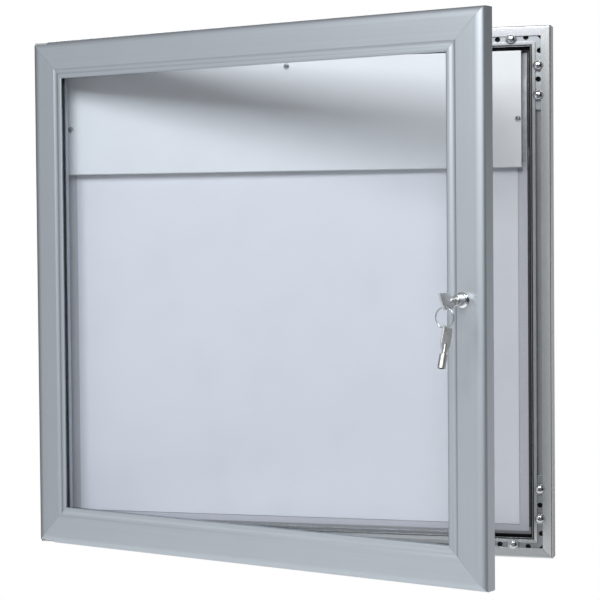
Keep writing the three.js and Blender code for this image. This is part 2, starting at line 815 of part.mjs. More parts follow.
// An L block in the open channel at each corner of the door. The left pair holds the pivots.
function cornerCleat(corner) {
  const outer = doorWall + restGap;
  const inner = outer + cleatWidth;
  const place = ([alongX, alongZ]) =>
    new THREE.Vector2(corner.x * (halfWidth - alongX), corner.z * (halfHeight - alongZ));
  const insets = [
    [cleatLength, outer],
    [cleatLength, inner],
    [inner, inner],
    [inner, cleatLength],
    [outer, cleatLength],
    [outer, outer],
  ];
  const back = doorBack - cleatBackClear;
  const front = doorFront + doorWall + restGap;
  const block = plate(new THREE.Shape(insets.map(place)), back, back - front);
  const bevel = new THREE.Shape([
    new THREE.Vector2(outer - cleatBevelWidth, front + 2 * cleatBevelDepth),
    new THREE.Vector2(outer - cleatBevelWidth, front - cleatBevelDepth),
    new THREE.Vector2(outer + 2 * cleatBevelWidth, front - cleatBevelDepth),
  ]);
  const edges = [corner.x > 0 ? sides.right : sides.left, corner.z > 0 ? sides.top : sides.bottom];
  const bevels = edges.map(({ turn, halfLength, halfAcross }) =>
    bar(bevel, halfLength, halfAcross, false).rotateY(turn));
  const body = cut(block, ...bevels);
  const top = halfHeight + cutOverrun;
  const bottom = halfHeight - plateInset - pinLength - 2 * restGap;
  const bore = rod(pinRadius + restGap, -top, -bottom, 20).rotateX(-Math.PI / 2).translate(pivotX, pivotY, 0);
  if (corner.x > 0) return body;
  return cut(body, hingeRebate(corner.z, restGap), corner.z > 0 ? bore : turnedOver(bore));
}

function addCleats(group) {
  for (const corner of corners) addPiece(group, `corner_cleat_${corner.name}`, cornerCleat(corner), castAlloy);
}

// Lock, in the place of the closed door

const tailBack = lipBack + camLipClear + camThickness + tailEndClear;
const plugBack = doorFront + barrelLength;

function lockBody() {
  const rosetteFront = doorFront - restGap - rosetteHeight;
  const rosetteBack = doorFront - restGap;
  const boreRadius = plugRadius + restGap;
  const profile = [
    [boreRadius, noseEnd],
    [noseTipRadius, noseEnd],
    [noseRadius, rosetteFront],
    [rosetteRadius - rosetteEdge, rosetteFront],
    [rosetteRadius, rosetteFront + rosetteEdge],
    [rosetteRadius, rosetteBack],
    [barrelRadius, rosetteBack],
    [barrelRadius, plugBack],
    [boreRadius, plugBack],
    [boreRadius, noseEnd],
  ];
  const outer = barrelRadius + cutOverrun;
  const notch = (side) =>
    boxBetween(
      vector(-outer, clipFront - restGap, side * barrelRadius - clipNotch),
      vector(outer, clipBack + restGap, side * barrelRadius + clipNotch),
    );
  return cut(turned(profile, 28), notch(1), notch(-1)).translate(lockX, 0, 0);
}

// Flat fork that slides from the side into the barrel's notches.
function lockClip() {
  const halfSlot = barrelRadius - clipNotch + restGap;
  const slotTip = barrelRadius + restGap;
  const halfClip = clipWidth / 2;
  const half = clipLength / 2;
  const outline = new THREE.Shape([
    new THREE.Vector2(half, -halfClip),
    new THREE.Vector2(half, halfClip),
    new THREE.Vector2(-half, halfClip),
    new THREE.Vector2(-half, halfSlot),
    new THREE.Vector2(slotTip, halfSlot),
    new THREE.Vector2(slotTip, -halfSlot),
    new THREE.Vector2(-half, -halfSlot),
    new THREE.Vector2(-half, -halfClip),
  ]);
  return plate(outline, clipBack, clipThickness).translate(lockX, 0, 0);
}

// The plug has a ring groove that the key's tube enters, round a post in its middle.
function lockPlug() {
  const grooveOuter = tubeRadius + restGap;
  const grooveInner = tubeBore - restGap;
  const grooveFloor = keyShoulder + tubeLength + keywayClear;
  const postFront = keyShoulder + tubeCap + restGap;
  const profile = [
    [0, postFront],
    [grooveInner, postFront],
    [grooveInner, grooveFloor],
    [grooveOuter, grooveFloor],
    [grooveOuter, plugFront],
    [plugRadius, plugFront],
    [plugRadius, plugBack],
    [tailRadius, plugBack],
    [tailRadius, tailBack],
    [0, tailBack],
  ];
  return turned(profile, 24);
}

// The cam hangs straight down at rest and turns out behind the case's inner lip.
function lockCam() {
  const back = lipBack + camLipClear + camThickness;
  const side = Math.asin((camBossRadius - camTipRadius) / camTipOffset);
  const outline = new THREE.Shape();
  outline.absarc(0, 0, camBossRadius, side, Math.PI - side, false);
  outline.absarc(0, -camTipOffset, camTipRadius, Math.PI - side, 2 * Math.PI + side, false);
  outline.holes.push(circleHole(0, 0, tailRadius + restGap));
  return plate(outline, back, camThickness, 8);
}

// A key with its tube towards +Y, its bow in the Y-Z plane and its shoulder at the origin.
function keyBody() {
  const half = keyThickness / 2;
  const bowFront = -bowShoulder - bowLength;
  const outline = new THREE.Shape([
    new THREE.Vector2(0, -bowNeck / 2),
    new THREE.Vector2(0, bowNeck / 2),
    new THREE.Vector2(-bowShoulder, bowWidth / 2),
    new THREE.Vector2(bowFront, bowWidth / 2),
    new THREE.Vector2(bowFront, -bowWidth / 2),
    new THREE.Vector2(-bowShoulder, -bowWidth / 2),
  ]);
  outline.holes.push(circleHole(bowFront + bowHoleEnd, -bowHoleSide, bowHoleRadius));
  const bow = new THREE.ExtrudeGeometry(outline, { depth: keyThickness, bevelEnabled: false, curveSegments: 6 })
    .translate(0, 0, -half)
    .rotateX(Math.PI / 2)
    .rotateZ(Math.PI / 2);
  const stem = turned([
    [0, -shankLength],
    [shankRadius, -shankLength],
    [shankRadius, 0],
    [tubeRadius, 0],
    [tubeRadius, tubeLength],
    [tubeBore, tubeLength],
    [tubeBore, tubeCap],
    [0, tubeCap],
  ]);
  return join(bow, stem);
}

// Centre of a closed mesh's volume.
function centreOf(geometry) {
  const flat = geometry.index ? geometry.toNonIndexed() : geometry;
  const p = flat.attributes.position;
  const [a, b, c] = [vector(0, 0, 0), vector(0, 0, 0), vector(0, 0, 0)];
  const sum = vector(0, 0, 0);
  let total = 0;
  for (let i = 0; i < p.count; i += 3) {
    a.fromBufferAttribute(p, i);
    b.fromBufferAttribute(p, i + 1);
    c.fromBufferAttribute(p, i + 2);
    const volume = a.dot(vector(0, 0, 0).crossVectors(b, c));
    total += volume;
    sum.addScaledVector(a.add(b).add(c), volume / 4);
  }
  return sum.divideScalar(total);
}

function addLock(group) {
  addPiece(group, "lock_body", lockBody(), chrome);
  addPiece(group, "lock_clip", lockClip(), zincSteel);
  const plugGroup = new THREE.Group();
  plugGroup.position.set(lockX, 0, 0);
  group.add(plugGroup);
  const turnedPlug = new THREE.Group();
  turnedPlug.rotation.y = -keyLean;
  plugGroup.add(turnedPlug);
  addPiece(turnedPlug, "lock_plug", lockPlug(), chrome);
  addPiece(plugGroup, "lock_cam", lockCam(), zincSteel);

  const keyGroup = new THREE.Group();
  keyGroup.position.set(0, keyShoulder, 0);
  turnedPlug.add(keyGroup);
  addPiece(keyGroup, "key", keyBody(), keySteel);

  // The ring hangs in the key's hole, and the spare key hangs on the ring.
  const hole = vector(0, bowEnd + bowHoleEnd, -bowHoleSide).applyAxisAngle(vector(0, 1, 0), -keyLean);
  const ringGroup = new THREE.Group();
  ringGroup.position.set(lockX + hole.x, hole.y, hole.z - ringSag - ringRadius);
  group.add(ringGroup);
  const ring = new THREE.TorusGeometry(ringRadius, ringWire, 8, 30).rotateX(Math.PI / 2);
  addPiece(ringGroup, "key_ring", ring, chrome);

  const spareHole = vector(0, -bowShoulder - bowLength + bowHoleEnd, -bowHoleSide);
  const spare = keyBody().translate(-spareHole.x, -spareHole.y, -spareHole.z);
  const centre = centreOf(spare);
  const hang = Math.atan2(centre.z, centre.y);
  const spareGroup = new THREE.Group();
  spareGroup.position.set(0, 0, -ringRadius - ringSag);
  spareGroup.rotation.x = -Math.PI / 2 - hang;
  ringGroup.add(spareGroup);
  addPiece(spareGroup, "spare_key", spare, keySteel);
}

// Assembly

const board = new THREE.Group();
board.name = "notice_board";
addCaseRails(board);
addCaseFilling(board);
addDoorSeal(board);
addCornerBrackets(board);
addHeader(board);
addHinges(board);

// The door turns about the pivots. It stands open at rest.
const doorPivot = new THREE.Group();
doorPivot.position.set(pivotX, pivotY, 0);
doorPivot.rotation.z = -doorOpenAngle;
board.add(doorPivot);
const door = new THREE.Group();
door.position.set(-pivotX, -pivotY, 0);
doorPivot.add(door);
addDoorRails(door);
addGlazing(door);
addCleats(door);
addLock(door);

export default board;
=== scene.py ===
"""A lockable notice board: a shallow aluminium wall case with a glazed, side-hung door.

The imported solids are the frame. This script dresses them with extruded rails, turned screws
and lock, bent sheet, rubber seals and a finish for every surface.
Lengths are in metres and angles in degrees. X runs right, Y into the wall and Z up.
"""

import logging
import math
from collections.abc import Mapping, Sequence
from dataclasses import dataclass
from enum import Enum
from typing import Any

import bmesh
import bpy
import numpy as np
from mathutils import Matrix, Vector
from mathutils.geometry import tessellate_polygon


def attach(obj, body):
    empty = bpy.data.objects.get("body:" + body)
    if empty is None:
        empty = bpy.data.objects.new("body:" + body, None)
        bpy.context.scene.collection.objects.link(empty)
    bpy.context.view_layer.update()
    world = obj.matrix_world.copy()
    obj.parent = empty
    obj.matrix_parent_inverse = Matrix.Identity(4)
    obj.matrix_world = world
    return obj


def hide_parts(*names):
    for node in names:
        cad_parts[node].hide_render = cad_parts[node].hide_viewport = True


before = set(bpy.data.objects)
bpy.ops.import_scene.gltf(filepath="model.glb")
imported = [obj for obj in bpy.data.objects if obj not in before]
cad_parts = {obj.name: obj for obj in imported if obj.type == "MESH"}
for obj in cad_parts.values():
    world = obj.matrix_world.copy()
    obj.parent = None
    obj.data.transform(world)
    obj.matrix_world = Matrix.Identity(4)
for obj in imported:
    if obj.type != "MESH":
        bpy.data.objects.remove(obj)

Spot = tuple[float, float, float]
Color = tuple[float, float, float]
Span = tuple[float, float]
Faces = list[tuple[int, ...]]
# Outline rows hold two lengths and the radius of the corner.
Rows = Sequence[tuple[float, float, float]]

LOG = logging.getLogger("notice_board")
# The smallest angle that shows as an edge, the largest corner radius that counts as worn,
# how far a cutting tool stands past what it cuts, and lengths that count as nothing.
SHARP_ANGLE = 32.0
WORN_RADIUS = 0.0012
OVERCUT = 0.001
MERGE, MERGE_COPY, TINY = 1e-7, 1e-6, 1e-12


# Sizes and places that sub-assemblies share


@dataclass(frozen=True)
class Board:
    """Overall sizes, and places with the door closed."""

    half_width: float = 0.359
    half_height: float = 0.35
    case_front: float = -0.025
    lip_back: float = -0.0232
    door_back: float = -0.026
    door_front: float = -0.05
    mitre_gap: float = 0.0001
    rest_gap: float = 0.0003
    slot_inset: float = 0.013
    slot_middle: float = 0.0166
    hinge_screw: Span = (0.028, 0.00535)
    pivot: Spot = (-0.353, -0.038, 0.0)
    door_angle: float = -19.0
    lock_x: float = 0.3285
    clip_depths: Span = (-0.0476, -0.0454)
    key_lean: float = -20.0


BOARD = Board()


class Place(Enum):
    """A named place on the board."""

    @property
    def label(self) -> str:
        """The place's name in lower case."""
        return self.name.lower()


class Side(Place):
    """A side of the board, as quarter turns from the bottom one about the Y axis."""

    BOTTOM = 0
    RIGHT = -1
    TOP = 2
    LEFT = 1

    @property
    def upright(self) -> bool:
        """True for the two sides that stand."""
        return self in (Side.LEFT, Side.RIGHT)

    @property
    def half_length(self) -> float:
        """Half the length of the side's rail."""
        return BOARD.half_height if self.upright else BOARD.half_width

    @property
    def half_across(self) -> float:
        """From the middle of the board to the rail's outer edge."""
        return BOARD.half_width if self.upright else BOARD.half_height


class Corner(Place):
    """A corner of the board, as signs of X and Z."""

    TOP_RIGHT = (1, 1)
    BOTTOM_RIGHT = (1, -1)
    TOP_LEFT = (-1, 1)
    BOTTOM_LEFT = (-1, -1)

    def placed(self, loop: np.ndarray) -> np.ndarray:
        """Carries a loop to the corner: the half sizes less the insets, with the corner's signs.

        Args:
            loop: Rows of the insets along X and Z, and a mark.

        Returns:
            Rows of X, Z and the mark, in an order that keeps the loop's turning sense.
        """
        sign = np.array(self.value)
        flat = sign * (np.array([BOARD.half_width, BOARD.half_height]) - loop[:, :2])
        moved = np.concatenate([flat, loop[:, 2:]], axis=1)
        return moved if sign.prod() > 0 else moved[::-1]


def at(x: float = 0, y: float = 0, z: float = 0) -> Matrix:
    """A move by three lengths."""
    return Matrix.Translation((x, y, z))


def spun(angle: float, axis: str) -> Matrix:
    """A turn about an axis through the origin."""
    return Matrix.Rotation(math.radians(angle), 4, axis)


def door_swing() -> Matrix:
    """The turn about the pivots from the closed door's place to the open door's."""
    pivot = at(*BOARD.pivot)
    return pivot @ spun(BOARD.door_angle, "Z") @ pivot.inverted()


def hinge_spot(up: int) -> Matrix:
    """The place of a hinge plate's screw, with up as 1 at the top and -1 at the bottom."""
    across, inset = BOARD.hinge_screw
    return at(across - BOARD.half_width, 0, up * (BOARD.half_height - inset))


# Surfaces worked out as arrays


@dataclass
class Surface:
    """A closed surface: its points, its faces, and a mark of 1 on points of a rounded edge."""

    points: np.ndarray
    faces: Faces
    edge: np.ndarray

    def placed(self, matrix: Matrix) -> "Surface":
        """The surface carried by a matrix."""
        turn = np.array(matrix.to_3x3())
        return Surface(self.points @ turn.T + np.array(matrix.translation), self.faces, self.edge)


def unit(rows: np.ndarray) -> np.ndarray:
    """Rows scaled to a length of one."""
    return rows / np.maximum(np.linalg.norm(rows, axis=1), TINY)[:, None]


def grid_faces(rows: int, columns: int, rows_close: bool) -> Faces:
    """Four-sided faces of a grid whose rows close on themselves, numbered row by row.

    Args:
        rows: Number of rows of points.
        columns: Number of points in a row.
        rows_close: Whether the last row joins the first.

    Returns:
        The faces as tuples of point numbers.
    """
    last = rows if rows_close else rows - 1
    r, c = np.meshgrid(np.arange(last), np.arange(columns), indexing="ij")
    r_next, c_next = (r + 1) % rows * columns, (c + 1) % columns
    r = r * columns
    around = np.stack([r + c, r + c_next, r_next + c_next, r_next + c], axis=-1)
    return [tuple(face) for face in around.reshape(-1, 4).tolist()]


def shell_faces(counts: Sequence[int], rings: int, cap: Faces) -> Faces:
    """Faces of a body with holes: a strip along each loop, then the two ends.

    Args:
        counts: Number of points of each loop.
        rings: Number of times that the loops follow each other.
        cap: Triangles of the first end.

    Returns:
        The faces as tuples of point numbers.
    """
    faces: Faces = []
    start, total = 0, sum(counts)
    for count in counts:
        strip = grid_faces(rings, count, False)
        faces += [tuple(start + i % count + (i // count) * total for i in face) for face in strip]
        start += count
    return faces + cap + [tuple((rings - 1) * total + i for i in face) for face in cap]


def rounded(rows: Rows, steps: int = 4) -> np.ndarray:
    """A closed outline whose corners are arcs.

    The arc of a corner touches both its sides. Its centre lies on the line that halves the
    corner, at the radius over the sine of the half angle, and its points turn evenly from one
    touching point to the other. A corner with no radius is one point.

    Args:
        rows: The corners, each with its radius.
        steps: Faces on each arc.

    Returns:
        Rows of the two lengths and a mark of 1 on the arcs of small radius.
    """
    data = np.array(rows, float)
    corner, radius = data[:, :2], data[:, 2]
    behind, ahead = (unit(np.roll(corner, step, 0) - corner) for step in (1, -1))
    half = np.arccos(np.clip((behind * ahead).sum(1), -1, 1)) / 2
    turn = np.maximum(math.pi - 2 * half, 1e-9)
    centre = corner + unit(behind + ahead) * (radius / np.sin(half))[:, None]
    reach = (radius / np.tan(half))[:, None]
    share = np.linspace(0, 1, steps + 1)
    arcs = centre[:, None]
    for side, part in ((behind, 1 - share), (ahead, share)):
        weight = np.sin(part * turn[:, None]) / np.sin(turn)[:, None]
        arcs = arcs + weight[..., None] * (corner + side * reach - centre)[:, None]
    arcs = np.where((radius > 0)[:, None, None], arcs, corner[:, None])
    worn = ((radius > 0) & (radius < WORN_RADIUS)).astype(float)
    mark = np.broadcast_to(worn[:, None, None], arcs.shape[:2] + (1,))
    path = np.concatenate([arcs, mark], axis=2).reshape(-1, 3)
    apart = np.linalg.norm(path[:, :2] - np.roll(path[:, :2], 1, 0), axis=1)
    return path[apart > MERGE]


def circle(across: float, up: float, radius: float, segments: int = 40) -> np.ndarray:
    """A round hole's outline, which turns the other way from an outer outline."""
    angle = -np.linspace(0, 2 * math.pi, segments, endpoint=False)
    ring = [across + radius * np.cos(angle), up + radius * np.sin(angle), np.zeros(segments)]
    return np.stack(ring, axis=1)


def plain(points: np.ndarray) -> Rows:
    """Corners with no radius at points."""
    return [(float(a), float(b), 0.0) for a, b in points]


def arc_rows(centre: Span, radii: Span, start: float, end: float, steps: int) -> Rows:
    """Corners with no radius along part of an ellipse.

    Args:
        centre: Middle of the ellipse.
        radii: Its two half axes.
        start: Angle of the first point.
        end: Angle of the last point.
        steps: Number of faces between them.

    Returns:
        The rows, at centre plus each half axis times the cosine or sine.
    """
    angle = np.radians(np.linspace(start, end, steps + 1))
    return plain(np.array(centre) + np.array(radii) * np.stack([np.cos(angle), np.sin(angle)], axis=1))


def bend_rows(first: Span, pull: Span, last: Span, steps: int) -> Rows:
    """Corners with no radius along a quadratic curve.

    Args:
        first: The first point.
        pull: The point that the curve leans to.
        last: The last point.
        steps: Number of faces between them.

    Returns:
        The rows, weighted by the three terms of (1 - t + t) squared.
    """
    t = np.linspace(0, 1, steps + 1)[:, None]
    ends = (1 - t) ** 2 * np.array(first) + 2 * t * (1 - t) * np.array(pull)
    return plain(ends + t**2 * np.array(last))


def rectangle(left: float, front: float, right: float, back: float, *radii: float) -> Rows:
    """The four corners of a rectangle, from left and front, with their radii or one for all."""
    corners = ((left, front), (right, front), (right, back), (left, back))
    return [(a, b, float(radius)) for (a, b), radius in zip(corners, np.resize(radii, 4))]


def filled(loops: Sequence[np.ndarray]) -> Faces:
    """Triangles that fill an outline round its holes. Point numbers run on from loop to loop."""
    flat = [[Vector((x * 1000, y * 1000, 0)) for x, y in loop[:, :2]] for loop in loops]
    return [tuple(triangle) for triangle in tessellate_polygon(flat)]


def bar(loops: Sequence[np.ndarray], side: Side, half_length: float | None = None) -> Surface:
    """A straight bar along one side of the board, with its section carried from end to end.

    A point is half the bar's length along it, less its inset and the mitre gap at a mitre, so
    both ends lean at 45 degrees. The bottom bar is turned about Y to the other sides.

    Args:
        loops: The section's outline and its holes, as inset from the outer edge and depth.
        side: The side that the bar lies on.
        half_length: Half the length of a bar with square ends. Others have the side's own.

    Returns:
        The bar's surface.
    """
    whole = np.concatenate(loops)
    inset, depth = whole[:, 0], whole[:, 1]
    reach = side.half_length - (inset + BOARD.mitre_gap)
    if half_length is not None:
        reach = np.full(len(whole), half_length)
    angle = side.value * math.pi / 2
    cos, sin, up = math.cos(angle), math.sin(angle), inset - side.half_across
    ends = [np.stack([x * cos + up * sin, depth, up * cos - x * sin], axis=1) for x in (reach, -reach)]
    faces = shell_faces([len(loop) for loop in loops], 2, filled(loops))
    return Surface(np.concatenate(ends), faces, np.tile(whole[:, 2], 2))


def mitred_ring(loop: np.ndarray) -> Surface:
    """A section carried round the board's four corners, each cut at 45 degrees.

    Args:
        loop: The section's outline, as inset from the board's edge and depth.

    Returns:
        The ring's surface.
    """
    signs = np.array([(1, 1), (-1, 1), (-1, -1), (1, -1)])
    x = signs[:, :1] * (BOARD.half_width - loop[:, 0])
    z = signs[:, 1:] * (BOARD.half_height - loop[:, 0])
    points = np.stack([x, np.broadcast_to(loop[:, 1], x.shape), z], axis=-1).reshape(-1, 3)
    return Surface(points, grid_faces(4, len(loop), True), np.tile(loop[:, 2], 4))


def turned(rows: np.ndarray, segments: int) -> Surface:
    """A solid of revolution about the Y axis.

    A point is the profile's radius times the cosine and sine of the angle, at its depth.

    Args:
        rows: The profile, as radius and depth. It closes on itself.
        segments: Faces round the axis.

    Returns:
        The turned surface. Points on the axis are merged later.
    """
    angle = np.linspace(0, 2 * math.pi, segments, endpoint=False)
    x, z = rows[:, :1] * np.cos(angle), rows[:, :1] * np.sin(angle)
    points = np.stack([x, np.broadcast_to(rows[:, 1:2], x.shape), z], axis=-1).reshape(-1, 3)
    return Surface(points, grid_faces(len(rows), segments, True), np.repeat(rows[:, 2], segments))


def drill(radius: float, front: float, back: float, segments: int) -> Surface:
    """A round cutting tool about the Y axis."""
    return turned(rounded(rectangle(0, front, radius, back, 0)), segments)


def oriented(loops: Sequence[np.ndarray]) -> list[np.ndarray]:
    """Turns an outline anticlockwise and its holes clockwise, by the sign of their areas.

    Args:
        loops: The outline and its holes.

    Returns:
        The same loops, reversed where the sign is wrong.
    """
    found = []
    for i, loop in enumerate(loops):
        x, z = loop[:, 0], loop[:, 1]
        area = (x * np.roll(z, -1) - z * np.roll(x, -1)).sum()
        found.append(loop if (area > 0) == (i == 0) else loop[::-1])
    return found


def shifted(loop: np.ndarray, distance: float) -> np.ndarray:
    """A loop moved to its left, each corner along its own mitre.

    Args:
        loop: The outline, anticlockwise round material and clockwise round a hole.
        distance: How far each side moves.

    Returns:
        The loop with both unit normals at a corner added and scaled to keep the sides parallel.
    """
    ahead = unit(np.roll(loop[:, :2], -1, 0) - loop[:, :2])
    behind = np.roll(ahead, 1, 0)
    both = ahead + behind
    normals = np.stack([-both[:, 1], both[:, 0]], axis=1)
    scale = distance / (1 + (ahead * behind).sum(1))
    return np.concatenate([loop[:, :2] + normals * scale[:, None], loop[:, 2:]], axis=1)


def plate(
    loops: Sequence[np.ndarray], front: float, back: float, edge: float, steps: int = 3
) -> Surface:
    """A flat plate in the X-Z plane whose front and back edges are quarter rounds.

    On the quarter round the outline moves in by the radius times one less the sine, and the
    depth by the radius times one less the cosine.

    Args:
        loops: The outline, anticlockwise, and its holes, clockwise, as X and Z.
        front: Depth of the front face.
        back: Depth of the back face.
        edge: Radius of the edges.
        steps: Faces on each quarter round.

    Returns:
        The plate's surface.
    """
    turn = np.linspace(0, math.pi / 2, steps + 1)
    inward, depth = edge * (1 - np.sin(turn)), edge * (1 - np.cos(turn))
    offsets = np.concatenate([inward, inward[::-1]])
    depths = np.concatenate([front + depth, back - depth[::-1]])
    marks = np.concatenate([np.cos(turn), np.cos(turn[::-1])]) > 0.1
    counts = [len(loop) for loop in loops]
    rings = []
    for offset, y in zip(offsets, depths):
        flat = np.concatenate([shifted(loop, offset) for loop in loops])
        rings.append(np.stack([flat[:, 0], np.full(len(flat), y), flat[:, 1]], axis=1))
    faces = shell_faces(counts, len(rings), filled([shifted(loop, edge) for loop in loops]))
    return Surface(np.concatenate(rings), faces, np.repeat(marks.astype(float), sum(counts)))


def tube(path: np.ndarray, sideways: np.ndarray, section: Span, segments: int = 16) -> Surface:
    """An open oval wire along a path, with rounded ends.

    A point is the path's, plus the sideways direction times the first half axis and the
    cosine, plus their cross direction times the second half axis and the sine. Both half axes
    shrink to nothing at the two ends as a quarter circle.

    Args:
        path: Rows of points.
        sideways: One direction that the wire keeps across itself.
        section: Half axes along and across that direction.
        segments: Faces round the wire.

    Returns:
        The wire's surface. The points of each end are merged later.
    """
    across = unit(np.cross(unit(np.gradient(path, axis=0)), sideways))
    angle = np.linspace(0, 2 * math.pi, segments, endpoint=False)
    run = np.concatenate([[0], np.cumsum(np.linalg.norm(np.diff(path, axis=0), axis=1))])
    left = np.minimum(run, run[-1] - run) / max(section)
    swell = np.sqrt(np.clip(1 - (1 - np.clip(left, 0, 1)) ** 2, 0, 1))[:, None, None]
    round_part = np.cos(angle)[None, :, None] * sideways * section[0]
    cross_part = np.sin(angle)[None, :, None] * across[:, None] * section[1]
    points = (path[:, None] + swell * (round_part + cross_part)).reshape(-1, 3)
    return Surface(points, grid_faces(len(path), segments, False), np.zeros(len(points)))


def wedge(ends: Sequence[tuple[Span, Span, float]]) -> Surface:
    """A cutting tool between two rectangles, each given by its X span, Z span and depth."""
    rings = [[(x0, y, z0), (x1, y, z0), (x1, y, z1), (x0, y, z1)] for (x0, x1), (z0, z1), y in ends]
    faces = grid_faces(2, 4, False) + [(0, 1, 2, 3), (4, 5, 6, 7)]
    return Surface(np.array(rings).reshape(-1, 3), faces, np.zeros(8))


def block(across: Span, depths: Span, heights: Span) -> Surface:
    """A square cutting tool between spans of X, Y and Z."""
    return wedge([(across, heights, depth) for depth in depths])


# Finishes


class Value:
    """A number that varies over a surface: an output socket that takes part in sums."""

    def __init__(self, shader: "Shader", socket: bpy.types.NodeSocket) -> None:
        """Wraps one socket of a shader's tree."""
        self.shader = shader
        self.socket = socket

    def _math(self, operation: str, *terms: "Value | float") -> "Value":
        """A Math node's result on the terms."""
        return Value(self.shader, self.shader.node("Math", dict(enumerate(terms)), operation=operation)[0])

    def __add__(self, other: "Value | float") -> "Value":
        """Sum."""
        return self._math("ADD", self, other)

    __radd__ = __add__

    def __sub__(self, other: "Value | float") -> "Value":
        """Difference."""
        return self._math("SUBTRACT", self, other)

    def __rsub__(self, other: float) -> "Value":
        """Difference from a plain number."""
        return self._math("SUBTRACT", other, self)

    def __mul__(self, other: "Value | float") -> "Value":
        """Product."""
        return self._math("MULTIPLY", self, other)

    __rmul__ = __mul__

    def __pow__(self, other: float) -> "Value":
        """Power."""
        return self._math("POWER", self, other)

    def most(self, other: "Value | float") -> "Value":
        """The larger of the two."""
        return self._math("MAXIMUM", self, other)

    def least(self, other: "Value | float") -> "Value":
        """The smaller of the two."""
        return self._math("MINIMUM", self, other)

    def between(self, low: float, high: float) -> "Value":
        """A smooth step from 0 at low to 1 at high."""
        inputs = {0: self, 1: low, 2: high}
        return Value(self.shader, self.shader.node("MapRange", inputs, interpolation_type="SMOOTHSTEP")[0])

    def past(self, place: float, blur: float) -> "Value":
        """A smooth step about a place, blurred to both its sides."""
        return self.between(place - blur, place + blur)


class Shader:
    """Builds the node tree of one material or of the world."""

    def __init__(self, tree: bpy.types.NodeTree) -> None:
        """Starts with an empty tree."""
        self.tree = tree
        self.tree.nodes.clear()

    def node(self, kind: str, inputs: Mapping[Any, Any], **settings: Any) -> bpy.types.NodeOutputs:
        """Adds one node.

        Args:
            kind: The node's type, without the words that all types start with.
            inputs: Its sockets by name or number, each with a number, a Value or a socket.
            **settings: Its properties, which are set first.

        Returns:
            The node's outputs.
        """
        made = self.tree.nodes.new(f"ShaderNode{kind}")
        for name, value in settings.items():
            setattr(made, name, value)
        for key, value in inputs.items():
            value = value.socket if isinstance(value, Value) else value
            if isinstance(value, bpy.types.NodeSocket):
                self.tree.links.new(value, made.inputs[key])
            else:
                made.inputs[key].default_value = value
        return made.outputs

    def coordinates(self, turn: float = 0, stretch: Spot = (1, 1, 1)) -> bpy.types.NodeSocket:
        """Object coordinates, turned about Z and then stretched.

        Args:
            turn: Angle that lines X up with the piece.
            stretch: Scale of each axis.

        Returns:
            The vector socket.
        """
        source = self.node("TexCoord", {})["Object"]
        lined_up = self.node("Mapping", {"Vector": source, "Rotation": (0, 0, math.radians(turn))})[0]
        return self.node("Mapping", {"Vector": lined_up, "Scale": stretch})[0]

    def noise(self, where: bpy.types.NodeSocket, scale: float, detail: float = 2, rough: float = 0.5) -> Value:
        """Noise between about 0 and 1 at a place."""
        inputs = {"Vector": where, "Scale": scale, "Detail": detail, "Roughness": rough}
        return Value(self, self.node("TexNoise", inputs)[0])

    def part_of(self, where: bpy.types.NodeSocket, axis: str) -> Value:
        """One coordinate of a place."""
        return Value(self, self.node("SeparateXYZ", {"Vector": where})[axis])

    def mixed(self, share: Value, low: Any, high: Any) -> bpy.types.NodeSocket:
        """A colour between two, each a colour or a socket."""
        ends = [end if isinstance(end, bpy.types.NodeSocket) else (*end, 1) for end in (low, high)]
        return self.node("Mix", {0: share, 6: ends[0], 7: ends[1]}, data_type="RGBA")[2]

    def rays(self) -> list[Value]:
        """1 for rays of the camera, of mirrors and through glass, in this order."""
        path = self.node("LightPath", {})
        return [Value(self, path[f"Is {kind} Ray"]) for kind in ("Camera", "Glossy", "Transmission")]

    def finish(self, surface: bpy.types.NodeSocket, output: str = "OutputMaterial") -> None:
        """Joins the surface to the output."""
        self.node(output, {"Surface": surface})

    def cover(
        self, color: bpy.types.NodeSocket, rough: Value, height: Value, depth: float, metal: float = 0.0
    ) -> None:
        """Gives the material one surface with a relief.

        Args:
            color: Its colour.
            rough: Its roughness.
            height: Its relief, from 0 to 1.
            depth: How high 1 stands.
            metal: How much of it is metal.
        """
        normal = self.node("Bump", {"Distance": depth, "Height": height})[0]
        inputs = {"Base Color": color, "Metallic": metal, "Roughness": rough, "Normal": normal}
        self.finish(self.node("BsdfPrincipled", inputs)[0])


def shade(color: Color, share: float) -> Color:
    """A colour at a share of its brightness."""
    return tuple(c * share for c in color)


@dataclass(frozen=True)
class Finish:
    """A finish: its name and the record's material slot. Each kind draws its own nodes."""

    name: str
    slot: str = ""

    def draw(self, shader: Shader) -> None:
        """Fills the shader's tree."""
        raise NotImplementedError

    def material(self) -> bpy.types.Material:
        """The finish's material, made once."""
        label = f"{self.name}_finish"
        made = bpy.data.materials.get(label)
        if not made:
            made = bpy.data.materials.new(label)
            made.use_nodes = True
            self.draw(Shader(made.node_tree))
        return made


